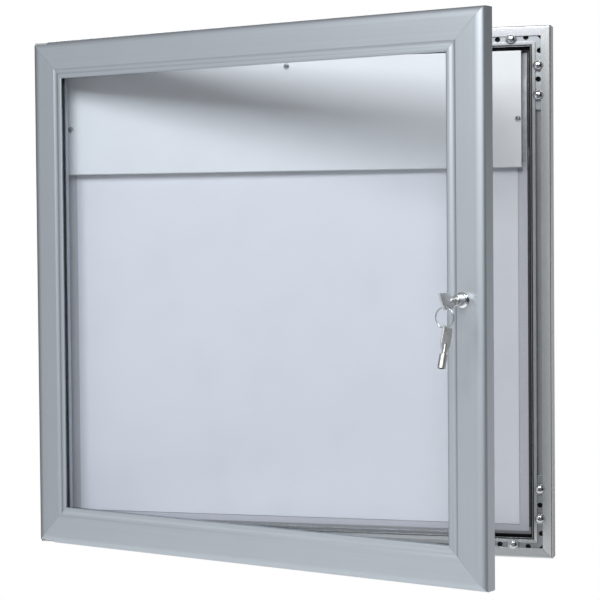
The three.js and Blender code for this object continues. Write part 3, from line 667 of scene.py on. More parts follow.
@dataclass(frozen=True)
class Anodised(Finish):
    """Satin anodised extrusion: fine lines along the rail, a frosted grain and paler edges."""

    upright: bool = False
    turn: float = 0.0
    color: Color = (0.425, 0.465, 0.508)
    rough: float = 0.4
    paints_recess_shade: bool = False
    # Colour of the shade painted in the slot and at an upright's foot.
    recess_shade_color: Color = (0.02, 0.02, 0.022)
    slot_start: float = 0.243
    slot_depth: float = -0.0214
    slot_wall: float = 0.0095
    foot_depth: float = -0.0144
    foot_inset: float = 0.0243

    def painted_recess_shade(self, shader: Shader) -> Value:
        """Painted shade deep in the slot, strongest under the brackets, and at an upright's foot.

        Places along and across the rail are compared by their squares, so both ends and both
        opposite rails are alike.

        Args:
            shader: The tree that is being drawn.

        Returns:
            1 where shade is painted.
        """
        where = shader.coordinates()
        x, depth, z = (shader.part_of(where, axis) for axis in "XYZ")
        along, across = (z, x) if self.upright else (x, z)
        half = BOARD.half_width if self.upright else BOARD.half_height

        def inside(inset: float) -> Value:
            """1 further in from the case's outer edge than an inset."""
            return 1 - (across * across).past((half - inset) ** 2, 0.0001)

        under = (along * along).past(self.slot_start**2, 0.0005)
        slot = (0.25 + 0.75 * under) * depth.past(self.slot_depth, 0.0004) * inside(self.slot_wall)
        if not self.upright:
            return slot
        return slot.most(depth.past(self.foot_depth, 0.0002) * inside(self.foot_inset))

    def draw(self, shader: Shader) -> None:
        """Draws the extrusion lines along the rail and the grain over all, and, where set, painted shade in
        the slot and at the foot.
        """
        drawn_out = shader.coordinates(self.turn, (1, 1, 0.004) if self.upright else (0.004, 1, 1))
        where = shader.coordinates(self.turn)
        lines, bands = shader.noise(drawn_out, 2600, 3, 0.6), shader.noise(drawn_out, 240)
        clouds, grain = shader.noise(where, 9, 3), shader.noise(where, 5200)
        edge = Value(shader, shader.node("Attribute", {}, attribute_name="edge")["Fac"])
        worn = edge * shader.noise(where, 70, 3).between(0.45, 0.7)
        tone = ((0.35 * lines + 0.35 * bands + 0.3 * clouds).between(0.3, 0.7) + 0.6 * worn).least(1)
        color = shader.mixed(tone, shade(self.color, 0.965), shade(self.color, 1.035))
        # Painted shade: the slot's recess and an upright's foot turn near black, as if light hardly reached
        # them.
        if self.paints_recess_shade:
            color = shader.mixed(self.painted_recess_shade(shader), color, self.recess_shade_color)
        rough = self.rough + 0.05 * lines + 0.04 * clouds
        shader.cover(color, rough, 0.6 * lines + 0.4 * grain, 0.000004, 0.85)


@dataclass(frozen=True)
class Plated(Finish):
    """Bright plated or polished metal with faint smears and fine scratches."""

    color: Color = (0.8, 0.81, 0.82)
    rough: float = 0.08
    scratch: float = 0.000001

    def draw(self, shader: Shader) -> None:
        """Draws smears in the roughness and scratches in the bump."""
        smears = shader.noise(shader.coordinates(), 160, 4, 0.6).between(0.4, 0.75)
        scratches = shader.noise(shader.coordinates(0, (1, 1, 0.06)), 3000)
        color = shader.mixed(smears, self.color, shade(self.color, 0.86))
        shader.cover(color, self.rough + 0.1 * smears, scratches, self.scratch, 1.0)


@dataclass(frozen=True)
class Cast(Finish):
    """Tumbled cast alloy: a soft orange-peel skin with darker hollows."""

    color: Color = (0.31, 0.335, 0.36)

    def draw(self, shader: Shader) -> None:
        """Draws the skin as two sizes of grain."""
        where = shader.coordinates()
        skin, patches = shader.noise(where, 900, 3, 0.55), shader.noise(where, 60, 3)
        tone = (0.5 * skin + 0.5 * patches).between(0.35, 0.65)
        color = shader.mixed(tone, shade(self.color, 0.84), self.color)
        shader.cover(color, 0.33 + 0.12 * patches, skin, 0.00003, 0.9)


@dataclass(frozen=True)
class Galvanised(Finish):
    """Zinc-coated sheet with its spangle."""

    color: Color = (0.5, 0.53, 0.56)

    def draw(self, shader: Shader) -> None:
        """Draws the spangle as flat cells of slightly different grey."""
        where = shader.coordinates()
        cells = Value(shader, shader.node("TexVoronoi", {"Vector": where, "Scale": 130})["Distance"])
        grain = shader.noise(where, 1500)
        tone = (0.7 * cells + 0.3 * grain).between(0.1, 0.8)
        color = shader.mixed(tone, shade(self.color, 0.8), self.color)
        shader.cover(color, 0.34 + 0.2 * cells, grain, 0.00001, 0.85)


@dataclass(frozen=True)
class Rubber(Finish):
    """Extruded rubber: matt, a little dusty, with a fine pebbled skin."""

    color: Color = (0.012, 0.013, 0.015)
    dust: Color = (0.03, 0.032, 0.035)
    dusty_below: float = -1.0

    def draw(self, shader: Shader) -> None:
        """Draws the dust in patches and all over the lowest run, and the skin in the bump."""
        where = shader.coordinates()
        above = shader.part_of(where, "Z").between(self.dusty_below - 0.002, self.dusty_below)
        dust = shader.noise(where, 45, 4, 0.6).between(0.5, 0.8).most(0.85 * (1 - above))
        color = shader.mixed(dust * dust, self.color, self.dust)
        shader.cover(color, 0.5 + 0.2 * dust, shader.noise(where, 2400), 0.00002)


@dataclass(frozen=True)
class Coated(Finish):
    """Painted sheet: an even colour with a trace of orange peel and of handling."""

    color: Color = (0.745, 0.775, 0.83)
    rough: float = 0.42
    metal: float = 0.0
    peel: float = 0.000015
    # Where shade is painted inside: a depth and two heights.
    bare: Spot | None = None
    bare_color: Color = (0.03, 0.032, 0.035)

    def inside(self, shader: Shader, where: bpy.types.NodeSocket) -> Value:
        """1 deeper than the painted shade's first length and between its two heights."""
        (depth, low, high), blur = self.bare, 0.0001
        height = shader.part_of(where, "Z")
        span = height.between(low - blur, low) * (1 - height.between(high, high + blur))
        return shader.part_of(where, "Y").past(depth, blur) * span

    def draw(self, shader: Shader) -> None:
        """Draws the peel in the bump, the handling in the roughness, and painted shade inside the tray, near
        black.
        """
        where = shader.coordinates()
        handled = shader.noise(where, 14, 4, 0.6).between(0.4, 0.8)
        color = shader.mixed(handled, self.color, shade(self.color, 0.96))
        # Painted shade: the tray's inside, where light hardly reaches, is drawn near black.
        if self.bare:
            color = shader.mixed(self.inside(shader, where), color, self.bare_color)
        shader.cover(color, self.rough + 0.06 * handled, shader.noise(where, 650), self.peel, self.metal)


@dataclass(frozen=True)
class FibreBoard(Finish):
    """Laminated board: pale grey film with a fine weave of pressed fibres."""

    color: Color = (0.56, 0.575, 0.635)

    def draw(self, shader: Shader) -> None:
        """Draws the fibres as two crossing sets of short streaks."""
        ways = ((0.15, 1, 1), (1, 1, 0.15))
        along, upward = (shader.noise(shader.coordinates(0, way), 1800) for way in ways)
        fibres = (0.5 * along + 0.5 * upward).between(0.3, 0.7)
        color = shader.mixed(fibres, shade(self.color, 0.9), self.color)
        shader.cover(color, 0.5 + 0.12 * shader.noise(shader.coordinates(), 25, 3), fibres, 0.000012)


@dataclass(frozen=True)
class Glass(Finish):
    """A clear pane that mirrors a little, more so at a slant, with faint wiping marks."""

    tint: Color = (0.965, 0.975, 0.99)
    straight: float = 0.04

    def draw(self, shader: Shader) -> None:
        """Mixes what is seen through the pane with what it mirrors.

        The mirrored share is what falls straight on, plus the rest times the fifth power of
        one less the cosine of the slant, the same from both sides.

        Args:
            shader: The tree to fill.
        """
        smears = shader.noise(shader.coordinates(0, (1, 1, 0.4)), 18, 4, 0.6).between(0.55, 0.85)
        clear = shader.node("BsdfTransparent", {"Color": (*self.tint, 1)})[0]
        inputs = {"Base Color": (1, 1, 1, 1), "Metallic": 1.0, "Roughness": 0.015 + 0.05 * smears}
        mirror = shader.node("BsdfPrincipled", inputs)[0]
        slant = Value(shader, shader.node("LayerWeight", {"Blend": 0.5})["Facing"])
        share = self.straight + (1 - self.straight) * slant**5
        shader.finish(shader.node("MixShader", {0: share, 1: clear, 2: mirror})[0])


# The rails' colours, each lightened or darkened to paint how the light falls on its side, and the finish of
# each rail.
METAL = "anodised_aluminium"
CASE_LIT_SHADES = {
    Side.BOTTOM: (0.5, 0.53, 0.545),
    Side.RIGHT: (0.68, 0.7, 0.71),
    Side.TOP: (0.64, 0.66, 0.7),
    Side.LEFT: (0.45, 0.48, 0.51),
}
# The door rails' colours paint the light on each side: the left darkest, the bottom lightest.
DOOR_LIT_SHADES = {
    Side.BOTTOM: (0.475, 0.52, 0.568),
    Side.RIGHT: (0.425, 0.465, 0.508),
    Side.TOP: (0.435, 0.476, 0.52),
    Side.LEFT: (0.41, 0.45, 0.492),
}
# The case rails also paint shade in their slot and at an upright's foot.
CASE_METAL = {
    side: Anodised(f"anodised_{side.label}_wall", METAL, side.upright, 0.0, tone, 0.17, True)
    for side, tone in CASE_LIT_SHADES.items()
}
DOOR_METAL = {
    side: Anodised(f"anodised_{side.label}_open", METAL, side.upright, -BOARD.door_angle, tone)
    for side, tone in DOOR_LIT_SHADES.items()
}
BEAD_METAL = Anodised("anodised_bead", METAL, False, -BOARD.door_angle)
CHROME = Plated("polished_chrome", "polished_chrome", (0.78, 0.79, 0.8), 0.04, 0.0000008)
ZINC = Plated("bright_zinc", "plated_steel", (0.5, 0.52, 0.54))
KEY_STEEL = Plated("nickel_plate", "key_steel", (0.54, 0.55, 0.55), 0.4)
RING_STEEL = Plated("ring_steel", "polished_chrome", (0.42, 0.43, 0.44), 0.1)
CAST_ALLOY = Cast("cast_alloy", "cast_alloy")
SPANGLE = Galvanised("galvanised_sheet")
PLAIN_SHEET = Coated("mill_sheet", "", (0.5, 0.52, 0.54), 0.35, 0.8)
SHEET_WHITE = Coated("white_sheet")
# The header tray paints shade inside its C section, behind -0.0218 and between its two heights.
FASCIA_WHITE = Coated(
    "fascia_white", "white_fascia", (0.78, 0.815, 0.85), 0.35, 0.0, 0.00001, (-0.0218, 0.1668, 0.3172)
)
BLACK_RUBBER = Rubber("black_rubber", "black_rubber")
GREY_RUBBER = Rubber("grey_rubber", "black_rubber", (0.02, 0.022, 0.025), (0.3, 0.31, 0.33), -0.31)
GREY_BOARD = FibreBoard("grey_laminate")
CLEAR = Glass("clear_glass", "clear_glass")


# Pieces


def linked(name: str, data: bpy.types.ID) -> bpy.types.Object:
    """A new object of the data, in the scene."""
    made = bpy.data.objects.new(name, data)
    bpy.context.scene.collection.objects.link(made)
    return made


def raw_object(name: str, surface: Surface) -> bpy.types.Object:
    """Puts one surface into a mesh object.

    Args:
        name: The object's name.
        surface: The surface.

    Returns:
        The object, with its doubles merged and its faces turned out.
    """
    mesh = bpy.data.meshes.new(name)
    mesh.from_pydata(surface.points.tolist(), [], surface.faces)
    marks = mesh.attributes.new("edge", "FLOAT", "POINT").data
    marks.foreach_set("value", surface.edge.astype(np.float32))
    work = bmesh.new()
    work.from_mesh(mesh)
    bmesh.ops.remove_doubles(work, verts=work.verts, dist=MERGE)
    bmesh.ops.dissolve_degenerate(work, edges=work.edges, dist=MERGE / 10)
    bmesh.ops.recalc_face_normals(work, faces=work.faces)
    work.to_mesh(mesh)
    work.free()
    return linked(name, mesh)


def combined(
    made: bpy.types.Object, tools: Sequence[bpy.types.Object], operation: str
) -> bpy.types.Object:
    """Joins other objects to one, or cuts them out of it, and removes them.

    Args:
        made: The object that stays.
        tools: The others.
        operation: UNION or DIFFERENCE.

    Returns:
        The object, with its new mesh.
    """
    for tool in tools:
        modifier = made.modifiers.new(tool.name, "BOOLEAN")
        modifier.operation = operation
        modifier.solver = "EXACT"
        modifier.object = tool
    if tools:
        bpy.context.view_layer.update()
        solved = made.evaluated_get(bpy.context.evaluated_depsgraph_get())
        shaped = bpy.data.meshes.new_from_object(solved)
        made.modifiers.clear()
        made.data = shaped
        for tool in tools:
            bpy.data.objects.remove(tool)
    return made


def copy_of_node(node: str, name: str, bevel: float) -> bpy.types.Object:
    """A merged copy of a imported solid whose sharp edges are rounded.

    Args:
        node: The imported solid.
        name: The new piece's name.
        bevel: Width of the rounding.

    Returns:
        The copy, at the origin.
    """
    work = bmesh.new()
    work.from_mesh(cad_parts[node].data)
    bmesh.ops.remove_doubles(work, verts=work.verts, dist=MERGE_COPY)
    bmesh.ops.dissolve_limit(work, angle_limit=math.radians(1), verts=work.verts, edges=work.edges)
    mesh = bpy.data.meshes.new(name)
    work.to_mesh(mesh)
    work.free()
    made = linked(name, mesh)
    rounding = made.modifiers.new("rounding", "BEVEL")
    rounding.width = bevel
    rounding.segments = 2
    rounding.limit_method = "ANGLE"
    rounding.angle_limit = math.radians(40)
    return made


def paint(solid: bpy.types.Object, finish: Finish) -> None:
    """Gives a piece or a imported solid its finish."""
    solid.data.materials.clear()
    solid.data.materials.append(finish.material())


def keep(node: str, finish: Finish) -> None:
    """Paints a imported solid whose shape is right, so it stays."""
    paint(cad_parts[node], finish)
    LOG.info("%s keeps its solid", node)


def dress(piece: bpy.types.Object, finish: Finish, body: str, node: str) -> None:
    """Gives a new piece its shading, finish and body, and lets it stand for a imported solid.

    Args:
        piece: The piece, finished in place.
        finish: Its finish.
        body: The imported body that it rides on.
        node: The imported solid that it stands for.
    """
    piece.data.shade_smooth()
    piece.data.set_sharp_from_angle(angle=math.radians(SHARP_ANGLE))
    piece.modifiers.new("weigh", "WEIGHTED_NORMAL").keep_sharp = True
    paint(piece, finish)
    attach(piece, body)
    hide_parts(node)
    LOG.info("%s stands for %s: %d faces", piece.name, node, len(piece.data.polygons))


def make(
    name: str, surface: Surface, finish: Finish, body: str, node: str, cuts: Sequence[Surface] = ()
) -> None:
    """Makes a piece of a surface, with other surfaces cut out of it, and dresses it.

    Args:
        name: The piece's name.
        surface: Its surface.
        finish: Its finish.
        body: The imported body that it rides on.
        node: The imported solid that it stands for.
        cuts: Closed surfaces to take away.
    """
    made = raw_object(name, surface)
    tools = [raw_object(f"{name}_{i}", cut) for i, cut in enumerate(cuts, 1)]
    dress(combined(made, tools, "DIFFERENCE"), finish, body, node)


@dataclass
class Case:
    """The wall case: four mitred rails, what they hold, and the seal that the door meets.

    Pairs of insets and depths run inwards and away from the room.
    """

    skin: float = 0.002
    web: Span = (0.0087, 0.0105)
    lips: Span = (0.013, 0.0202)
    wall: Span = (0.0227, 0.0245)
    groove: Span = (0.0242, 0.0262)
    inner: float = 0.0266
    ledge: float = 0.0298
    foot: float = 0.015
    slot_floor: Span = (-0.0175, -0.0157)
    groove_floor: float = -0.024
    ledge_depths: Span = (-0.0136, -0.0118)
    foot_depths: Span = (-0.0033, -0.0015)
    corner: float = 0.0002
    groove_corner: float = 0.0001
    lip_corner: float = 0.0003
    edge_radius: float = 0.002
    notch: Span = (0.0097, 0.0253)
    notch_back: float = -0.0229
    notch_depth: float = 0.0087
    sink_radii: Span = (0.0018, 0.0031)
    sink_depths: Spot = (-0.026, -0.0247, -0.0234)
    seal: Rows = (
        (0.0245, -0.0243, 0.0001), (0.0259, -0.0243, 0.0001), (0.0259, -0.0252, 0.0002),
        (0.0261, -0.0255, 0.0001), (0.0256, -0.0257, 0.0002), (0.0247, -0.0257, 0.0004),
    )  # fmt: skip
    gasket: tuple[float, ...] = (0.0208, -0.0089, 0.0333, -0.0115, 0.0003, 0.0008, 0.0012, 0.0003)

    def section(self) -> np.ndarray:
        """The rail's section, from the wall round the front to the foot, as inset and depth."""
        front, under, c, lip, g = (
            BOARD.case_front, BOARD.lip_back, self.corner, self.lip_corner, self.groove_corner
        )  # fmt: skip
        (web_out, web), (near, far), (wall, wall_in) = self.web, self.lips, self.wall
        (groove, groove_in), (floor, floor_back) = self.groove, self.slot_floor
        (ledge, ledge_back), (foot, foot_back) = self.ledge_depths, self.foot_depths
        return rounded([
            (0, 0, c), (0, front, self.edge_radius), (near, front, lip), (near, under, lip),
            (web, under, c), (web, floor, c), (wall, floor, c), (wall, under, c),
            (far, under, lip), (far, front, lip), (groove, front, g), (groove, self.groove_floor, g),
            (groove_in, self.groove_floor, g), (groove_in, front, g), (self.inner, front, g),
            (self.inner, under, c), (wall_in, under, c), (wall_in, ledge, c),
            (self.ledge, ledge, lip), (self.ledge, ledge_back, lip), (wall, ledge_back, c),
            (wall, floor_back, c), (web, floor_back, c), (web, foot, c), (self.foot, foot, c),
            (self.foot, foot_back, c), (web_out, foot_back, c), (web_out, under, c),
            (self.skin, under, c), (self.skin, 0, c),
        ])  # fmt: skip

    def hinge_cuts(self, up: int) -> list[Surface]:
        """The notch for a hinge plate's neck and the countersunk hole beside it.

        Args:
            up: 1 for the upper plate and -1 for the lower one.

        Returns:
            The two cutting surfaces.
        """
        half, floor = BOARD.half_height, self.slot_floor[1]
        span = sorted([up * (half - self.notch_depth), up * (half + OVERCUT)])
        left, right = (inset - BOARD.half_width for inset in self.notch)
        notch = block((left, right), (BOARD.case_front - OVERCUT, self.notch_back), span)
        (narrow, wide), (front, sunk, straight) = self.sink_radii, self.sink_depths
        hole = rounded([
            (0, front, 0), (0, floor, 0), (narrow, floor, 0),
            (narrow, straight, 0), (wide, sunk, 0), (wide, front, 0),
        ])  # fmt: skip
        return [notch, turned(hole, 40).placed(hinge_spot(up))]

    def build(self) -> None:
        """Makes the rails, gaskets and sheets."""
        cuts = {Side.TOP: self.hinge_cuts(1), Side.BOTTOM: self.hinge_cuts(-1)}
        for side in Side:
            node, rail = f"case_rail_{side.label}", bar([self.section()], side)
            make(f"case_profile_{side.label}", rail, CASE_METAL[side], "case", node, cuts.get(side, ()))
        make("seal_lip", mitred_ring(rounded(self.seal)), BLACK_RUBBER, "case", "door_seal")
        gasket = mitred_ring(rounded(rectangle(*self.gasket)))
        make("board_gasket", gasket, GREY_RUBBER, "case", "panel_gasket")
        keep("rear_sheet", PLAIN_SHEET)
        keep("backing_board", GREY_BOARD)
        keep("magnetic_sheet", SHEET_WHITE)


@dataclass(frozen=True)
class DomeScrew:
    """A flanged dome-head screw with a cross recess, along Y with its seat at the origin."""

    flange: float = 0.007
    flange_height: float = 0.0009
    dome: float = 0.0052
    dome_height: float = 0.002
    shank: float = 0.0027
    length: float = 0.007
    arm: float = 0.0026
    arm_width: float = 0.0011
    recess: float = 0.0016
    pitch: float = 0.0009
    thread_depth: float = 0.0003

    def profile(self) -> np.ndarray:
        """Crown, flange with a rounded rim, and a shank whose turned grooves show as its thread."""
        rim, crown = -self.flange_height, -self.flange_height - self.dome_height
        dome = arc_rows((0, rim), (self.dome, self.dome_height), 270, 360, 14)
        steps = np.arange(2 * int((self.length - self.flange_height) / self.pitch))
        radius = np.where(steps % 2, self.shank - self.thread_depth, self.shank)
        thread = plain(np.stack([radius, self.flange_height + self.pitch * steps / 2], axis=1))
        rows = [
            (0, crown, 0), *dome[1:-1], (self.dome, rim, 0.0002), (self.flange, rim, 0.00035),
            (self.flange, 0, 0.0002), (self.shank, 0, 0), *thread,
            (self.shank * 0.6, self.length, 0), (0, self.length, 0),
        ]  # fmt: skip
        return rounded(rows, 3)

    def cross(self, angle: float) -> list[Surface]:
        """The two slots of the cross recess, which narrow with depth.

        Args:
            angle: How far the screw is turned in.

        Returns:
            Two wedges.
        """
        crown, half = -self.flange_height - self.dome_height, self.arm_width / 2
        spans = [(self.arm * 1.25, crown - OVERCUT), (self.arm * 0.45, crown + self.recess)]
        slot = wedge([((-reach, reach), (-half, half), depth) for reach, depth in spans])
        return [slot.placed(spun(turn, "Y")) for turn in (angle, angle + 90)]

    def build(self, name: str, node: str, spot: Spot, angle: float) -> None:
        """Makes the screw.

        Args:
            name: The piece's name.
            node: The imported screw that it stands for.
            spot: Where it is seated.
            angle: How far it is turned in.
        """
        cuts = [slot.placed(at(*spot)) for slot in self.cross(angle)]
        make(name, turned(self.profile(), 56).placed(at(*spot)), ZINC, "case", node, cuts)


@dataclass
class CornerBrackets:
    """Four L brackets in the corners of the case's slot, each with four screws."""

    outer: float = 0.0113
    inner: float = 0.0219
    front: float = -0.0229
    back: float = -0.0199
    reach: float = 0.097
    end_radius: float = 0.0045
    inner_radius: float = 0.0008
    chamfer: float = 0.0197
    chamfer_radius: float = 0.0006
    hole_radius: float = 0.0034
    screw_hole: float = 0.003
    holes_along: Span = (0.0195, 0.057)
    hole_shift: float = 0.0019
    screws_along: Span = (0.039, 0.078)
    edge: float = 0.0004
    turn_step: float = 37.0
    corner_turns: Span = (11.0, 23.0)
    screw: DomeScrew = DomeScrew()

    def outline(self) -> np.ndarray:
        """One bracket's outline, as insets from the corner's two edges."""
        end, out, inner, blunt = BOARD.slot_inset + self.reach, self.outer, self.inner, self.end_radius
        rows = [
            (end, out, blunt), (end, inner, blunt), (inner, inner, self.inner_radius),
            (inner, end, blunt), (out, end, blunt),
            (out, self.chamfer, self.chamfer_radius), (self.chamfer, out, self.chamfer_radius),
        ]  # fmt: skip
        return rounded(rows, 8)

    def holes(self) -> list[np.ndarray]:
        """The outlines of one bracket's holes, as insets."""
        middle, (first, second) = BOARD.slot_middle, self.holes_along
        spots = [(first, middle - self.hole_shift, self.hole_radius), (second, middle, self.hole_radius)]
        spots += [(along, middle, self.screw_hole) for along in self.screws_along]
        placed = []
        for along, across, radius in spots:
            inset = BOARD.slot_inset + along
            placed += [circle(inset, across, radius), circle(across, inset, radius)]
        return placed

    def build(self) -> None:
        """Makes the brackets and their screws."""
        middle, insets = BOARD.slot_middle, [BOARD.slot_inset + along for along in self.screws_along]
        spots = [spot for inset in insets for spot in ((inset, middle, 0), (middle, inset, 0))]
        for corner in Corner:
            loops = [corner.placed(loop[::-1]) for loop in (self.outline(), *self.holes())]
            flat = plate(oriented(loops), self.front, self.back, self.edge)
            make(f"bracket_{corner.label}", flat, CAST_ALLOY, "case", f"corner_bracket_{corner.label}")
            own_turn = sum(turn * sign for turn, sign in zip(self.corner_turns, corner.value))
            for count, spot in enumerate(spots, 1):
                x, z, _ = corner.placed(np.array([spot]))[0]
                seat, label = BOARD.case_front - BOARD.rest_gap, f"screw_{corner.label}_{count}"
                self.screw.build(label, f"bracket_{label}", (x, seat, z), self.turn_step * count + own_turn)


@dataclass
class Header:
    """The white header tray across the top, its screws and the struts behind it."""

    half: float = 0.32
    front: float = -0.0235
    skin: float = 0.0012
    depth: float = 0.0112
    bottom: float = 0.1655
    top: float = 0.3185
    bend: float = 0.0016
    corner: float = 0.0002
    side_screw: Span = (0.3155, 0.229)
    top_screw: float = 0.3076
    hole: float = 0.00205
    hole_depths: Span = (-0.026, -0.021)
    head: float = 0.0039
    head_top: float = 0.0026
    head_heights: Span = (0.0022, 0.0011)
    head_corner: float = 0.0006
    socket: Span = (0.0012, 0.0009)
    shank: Span = (0.00175, 0.006)

    def section(self) -> np.ndarray:
        """The tray's C section, as height above the bottom of the board and depth."""
        low, high = self.bottom + BOARD.half_height, self.top + BOARD.half_height
        front, back, skin, c = self.front, self.front + self.depth, self.skin, self.corner
        inside = max(self.bend - skin, c)
        rows = [
            (low, front, self.bend), (low, back, c), (low + skin, back, c),
            (low + skin, front + skin, inside), (high - skin, front + skin, inside),
            (high - skin, back, c), (high, back, c), (high, front, self.bend),
        ]  # fmt: skip
        return rounded(rows, 6)

    def screw(self) -> np.ndarray:
        """A pan-head screw's profile with its socket."""
        seat, (shank, length), (socket, sunk) = self.front - BOARD.rest_gap, self.shank, self.socket
        crown, shoulder = seat - self.head_heights[0], self.head_heights[1]
        return rounded([
            (0, crown + sunk, 0), (socket, crown + sunk, 0), (socket, crown, 0.0001),
            (self.head_top, crown, self.head_corner), (self.head, crown + shoulder, self.head_corner),
            (self.head, seat, 0.0001), (shank, seat, 0), (shank, seat + length, 0.0003),
            (0, seat + length, 0),
        ])  # fmt: skip

    def build(self) -> None:
        """Makes the tray and its screws, and paints the struts."""
        x, z = self.side_screw
        spots = {"left": at(-x, 0, z), "right": at(x, 0, z), "top": at(0, 0, self.top_screw)}
        drills = [drill(self.hole, *self.hole_depths, 32).placed(spot) for spot in spots.values()]
        tray = bar([self.section()], Side.BOTTOM, self.half)
        make("header_tray", tray, FASCIA_WHITE, "case", "header_fascia", drills)
        for side, spot in spots.items():
            screw = turned(self.screw(), 40).placed(spot)
            make(f"pan_screw_{side}", screw, ZINC, "case", f"header_screw_{side}")
            keep(f"header_strut_{side}", SPANGLE)


@dataclass
class Hinges:
    """The hinge plates at the two left corners, their pins and screws.

    The countersunk screw's profile has a dished head.
    """

    bevel: float = 0.0003
    pin_radius: float = 0.0025
    pin_top: float = 0.3487
    pin_length: float = 0.027
    pin_chamfer: float = 0.0004
    screw: Rows = (
        (0, -0.0242, 0), (0.0009, -0.0242, 0), (0.0013, -0.0247, 0), (0.0028, -0.0247, 0.0001),
        (0.0015, -0.0234, 0.0001), (0.0015, -0.016, 0.0002), (0, -0.016, 0),
    )  # fmt: skip

    def pin(self) -> np.ndarray:
        """The pin's profile, with a chamfer at both ends."""
        top, low, r, cut = self.pin_top, self.pin_top - self.pin_length, self.pin_radius, self.pin_chamfer
        return rounded([
            (0, low, 0), (r - cut, low, 0), (r, low + cut, 0),
            (r, top - cut, 0), (r - cut, top, 0), (0, top, 0),
        ])  # fmt: skip

    def build(self) -> None:
        """Makes both hinges."""
        for label, up in (("top", 1), ("bottom", -1)):
            flat = copy_of_node(f"hinge_plate_{label}", f"pivot_plate_{label}", self.bevel)
            dress(flat, ZINC, "case", f"hinge_plate_{label}")
            pin = turned(self.pin(), 40).placed(at(*BOARD.pivot) @ spun(90 * up, "X"))
            make(f"pivot_pin_{label}", pin, ZINC, "case", f"hinge_pin_{label}")
            screw = turned(rounded(self.screw, 3), 32).placed(hinge_spot(up))
            make(f"countersunk_screw_{label}", screw, ZINC, "case", f"hinge_screw_{label}")


@dataclass
class Door:
    """The door frame: four mitred rails and the cleats inside them.

    The edge and the groove are given by width and depth, and the rebate by its right end and
    its drop. The lock clip's window is given by both ends and half its height.
    """

    edge: Span = (0.012, 0.006)
    wall: float = 0.002
    wall_short: float = 0.0007
    face_width: float = 0.038
    groove: Span = (0.0085, 0.0011)
    crest: float = 0.0015
    crest_drop: float = 0.0001
    crest_round: float = 0.0012
    sight: float = 0.052
    rim: float = 0.0025
    web: float = 0.024
    box_end: float = 0.044
    chamber_wall: float = 0.0018
    chamber_front: float = 0.0024
    corner: float = 0.0002
    foot_corner: float = 0.0004
    rebate: Span = (0.026, 0.0033)
    bore: float = 0.0081
    window: Spot = (0.0039, 0.011, 0.01)

    def section(self) -> list[np.ndarray]:
        """The rail's section and its box chamber, as inset and depth."""
        front, back, c, wall = BOARD.door_front, BOARD.door_back, self.corner, self.wall
        (width, depth), (groove, sunk), face, sight = self.edge, self.groove, self.face_width, self.sight
        centre, crest, rim = (width, front + depth), front + self.crest_drop, front + self.rim
        crest_start, crest_end = face + groove, face + groove + self.crest
        outline = [
            *arc_rows((wall, back - self.wall_short - wall), (wall, wall), 90, 180, 6),
            *arc_rows(centre, (width, depth), 180, 270, 18),
            *bend_rows((face, front), (face + groove / 2, front + 2 * sunk), (crest_start, crest), 12),
            *bend_rows((crest_end, crest), (sight, crest), (sight, front + self.crest_round), 10),
            (sight, rim, c), (self.box_end, rim, c), (self.box_end, back, self.foot_corner),
            (self.web, back, self.foot_corner), (self.web, front + wall, c),
            *arc_rows(centre, (width - wall, depth - wall), 270, 180, 10),
        ]  # fmt: skip
        left, right = self.web + self.chamber_wall, self.box_end - self.chamber_wall
        chamber = rectangle(left, front + self.chamber_front, right, back - self.chamber_wall, c)
        return [rounded(outline), rounded(chamber)]

    def hinge_step(self, up: int) -> Surface:
        """The step in a left corner that the hinge plate turns in."""
        right, drop = self.rebate
        span = sorted([up * (BOARD.half_height - drop), up * (BOARD.half_height + OVERCUT)])
        across = (-BOARD.half_width - OVERCUT, right - BOARD.half_width)
        return block(across, (BOARD.door_front - OVERCUT, BOARD.door_back + OVERCUT), span)

    def lock_cuts(self) -> list[Surface]:
        """The bore of the lock and the window of its clip."""
        left, right, half = self.window
        bore = drill(self.bore, BOARD.door_front - OVERCUT, BOARD.door_back + OVERCUT, 56)
        window = block((left, right), BOARD.clip_depths, (-half, half))
        return [cut.placed(at(BOARD.lock_x)) for cut in (bore, window)]

    def build(self) -> None:
        """Makes the rails in the open door's place and paints the cleats."""
        swing, top, bottom = door_swing(), self.hinge_step(1), self.hinge_step(-1)
        cuts = {
            Side.TOP: [top], Side.BOTTOM: [bottom], Side.LEFT: [top, bottom], Side.RIGHT: self.lock_cuts()
        }  # fmt: skip
        for side in Side:
            node, rail = f"door_rail_{side.label}", bar(self.section(), side).placed(swing)
            tools = [cut.placed(swing) for cut in cuts[side]]
            make(f"door_profile_{side.label}", rail, DOOR_METAL[side], "door", node, tools)
        for corner in Corner:
            keep(f"corner_cleat_{corner.label}", CAST_ALLOY)


@dataclass
class Glazing:
    """The pane, the black gasket in front of it and the bead behind it.

    Gasket and bead are given by outer inset, front, inner inset, back and radii.
    """

    pane_inset: float = 0.046
    pane_depths: Span = (-0.0442, -0.0402)
    pane_corner: float = 0.001
    arris: float = 0.0004
    gasket: tuple[float, ...] = (0.0457, -0.0472, 0.0517, -0.0445, 0.0003, 0.0008, 0.0003, 0.0003)
    bead: tuple[float, ...] = (0.0443, -0.0399, 0.0508, -0.0339, 0.0003, 0.0003, 0.0022, 0.0006)

    def build(self) -> None:
        """Makes the pane, gasket and bead."""
        swing = door_swing()
        x, z = BOARD.half_width - self.pane_inset, BOARD.half_height - self.pane_inset
        outline = rounded(rectangle(-x, -z, x, z, self.pane_corner))
        pane = plate([outline], *self.pane_depths, self.arris, 2).placed(swing)
        make("pane", pane, CLEAR, "door", "glass_pane")
        gasket = mitred_ring(rounded(rectangle(*self.gasket))).placed(swing)
        make("glass_gasket", gasket, BLACK_RUBBER, "door", "glazing_gasket")
        bead = mitred_ring(rounded(rectangle(*self.bead), 6)).placed(swing)
        make("glass_bead", bead, BEAD_METAL, "door", "glazing_bead")


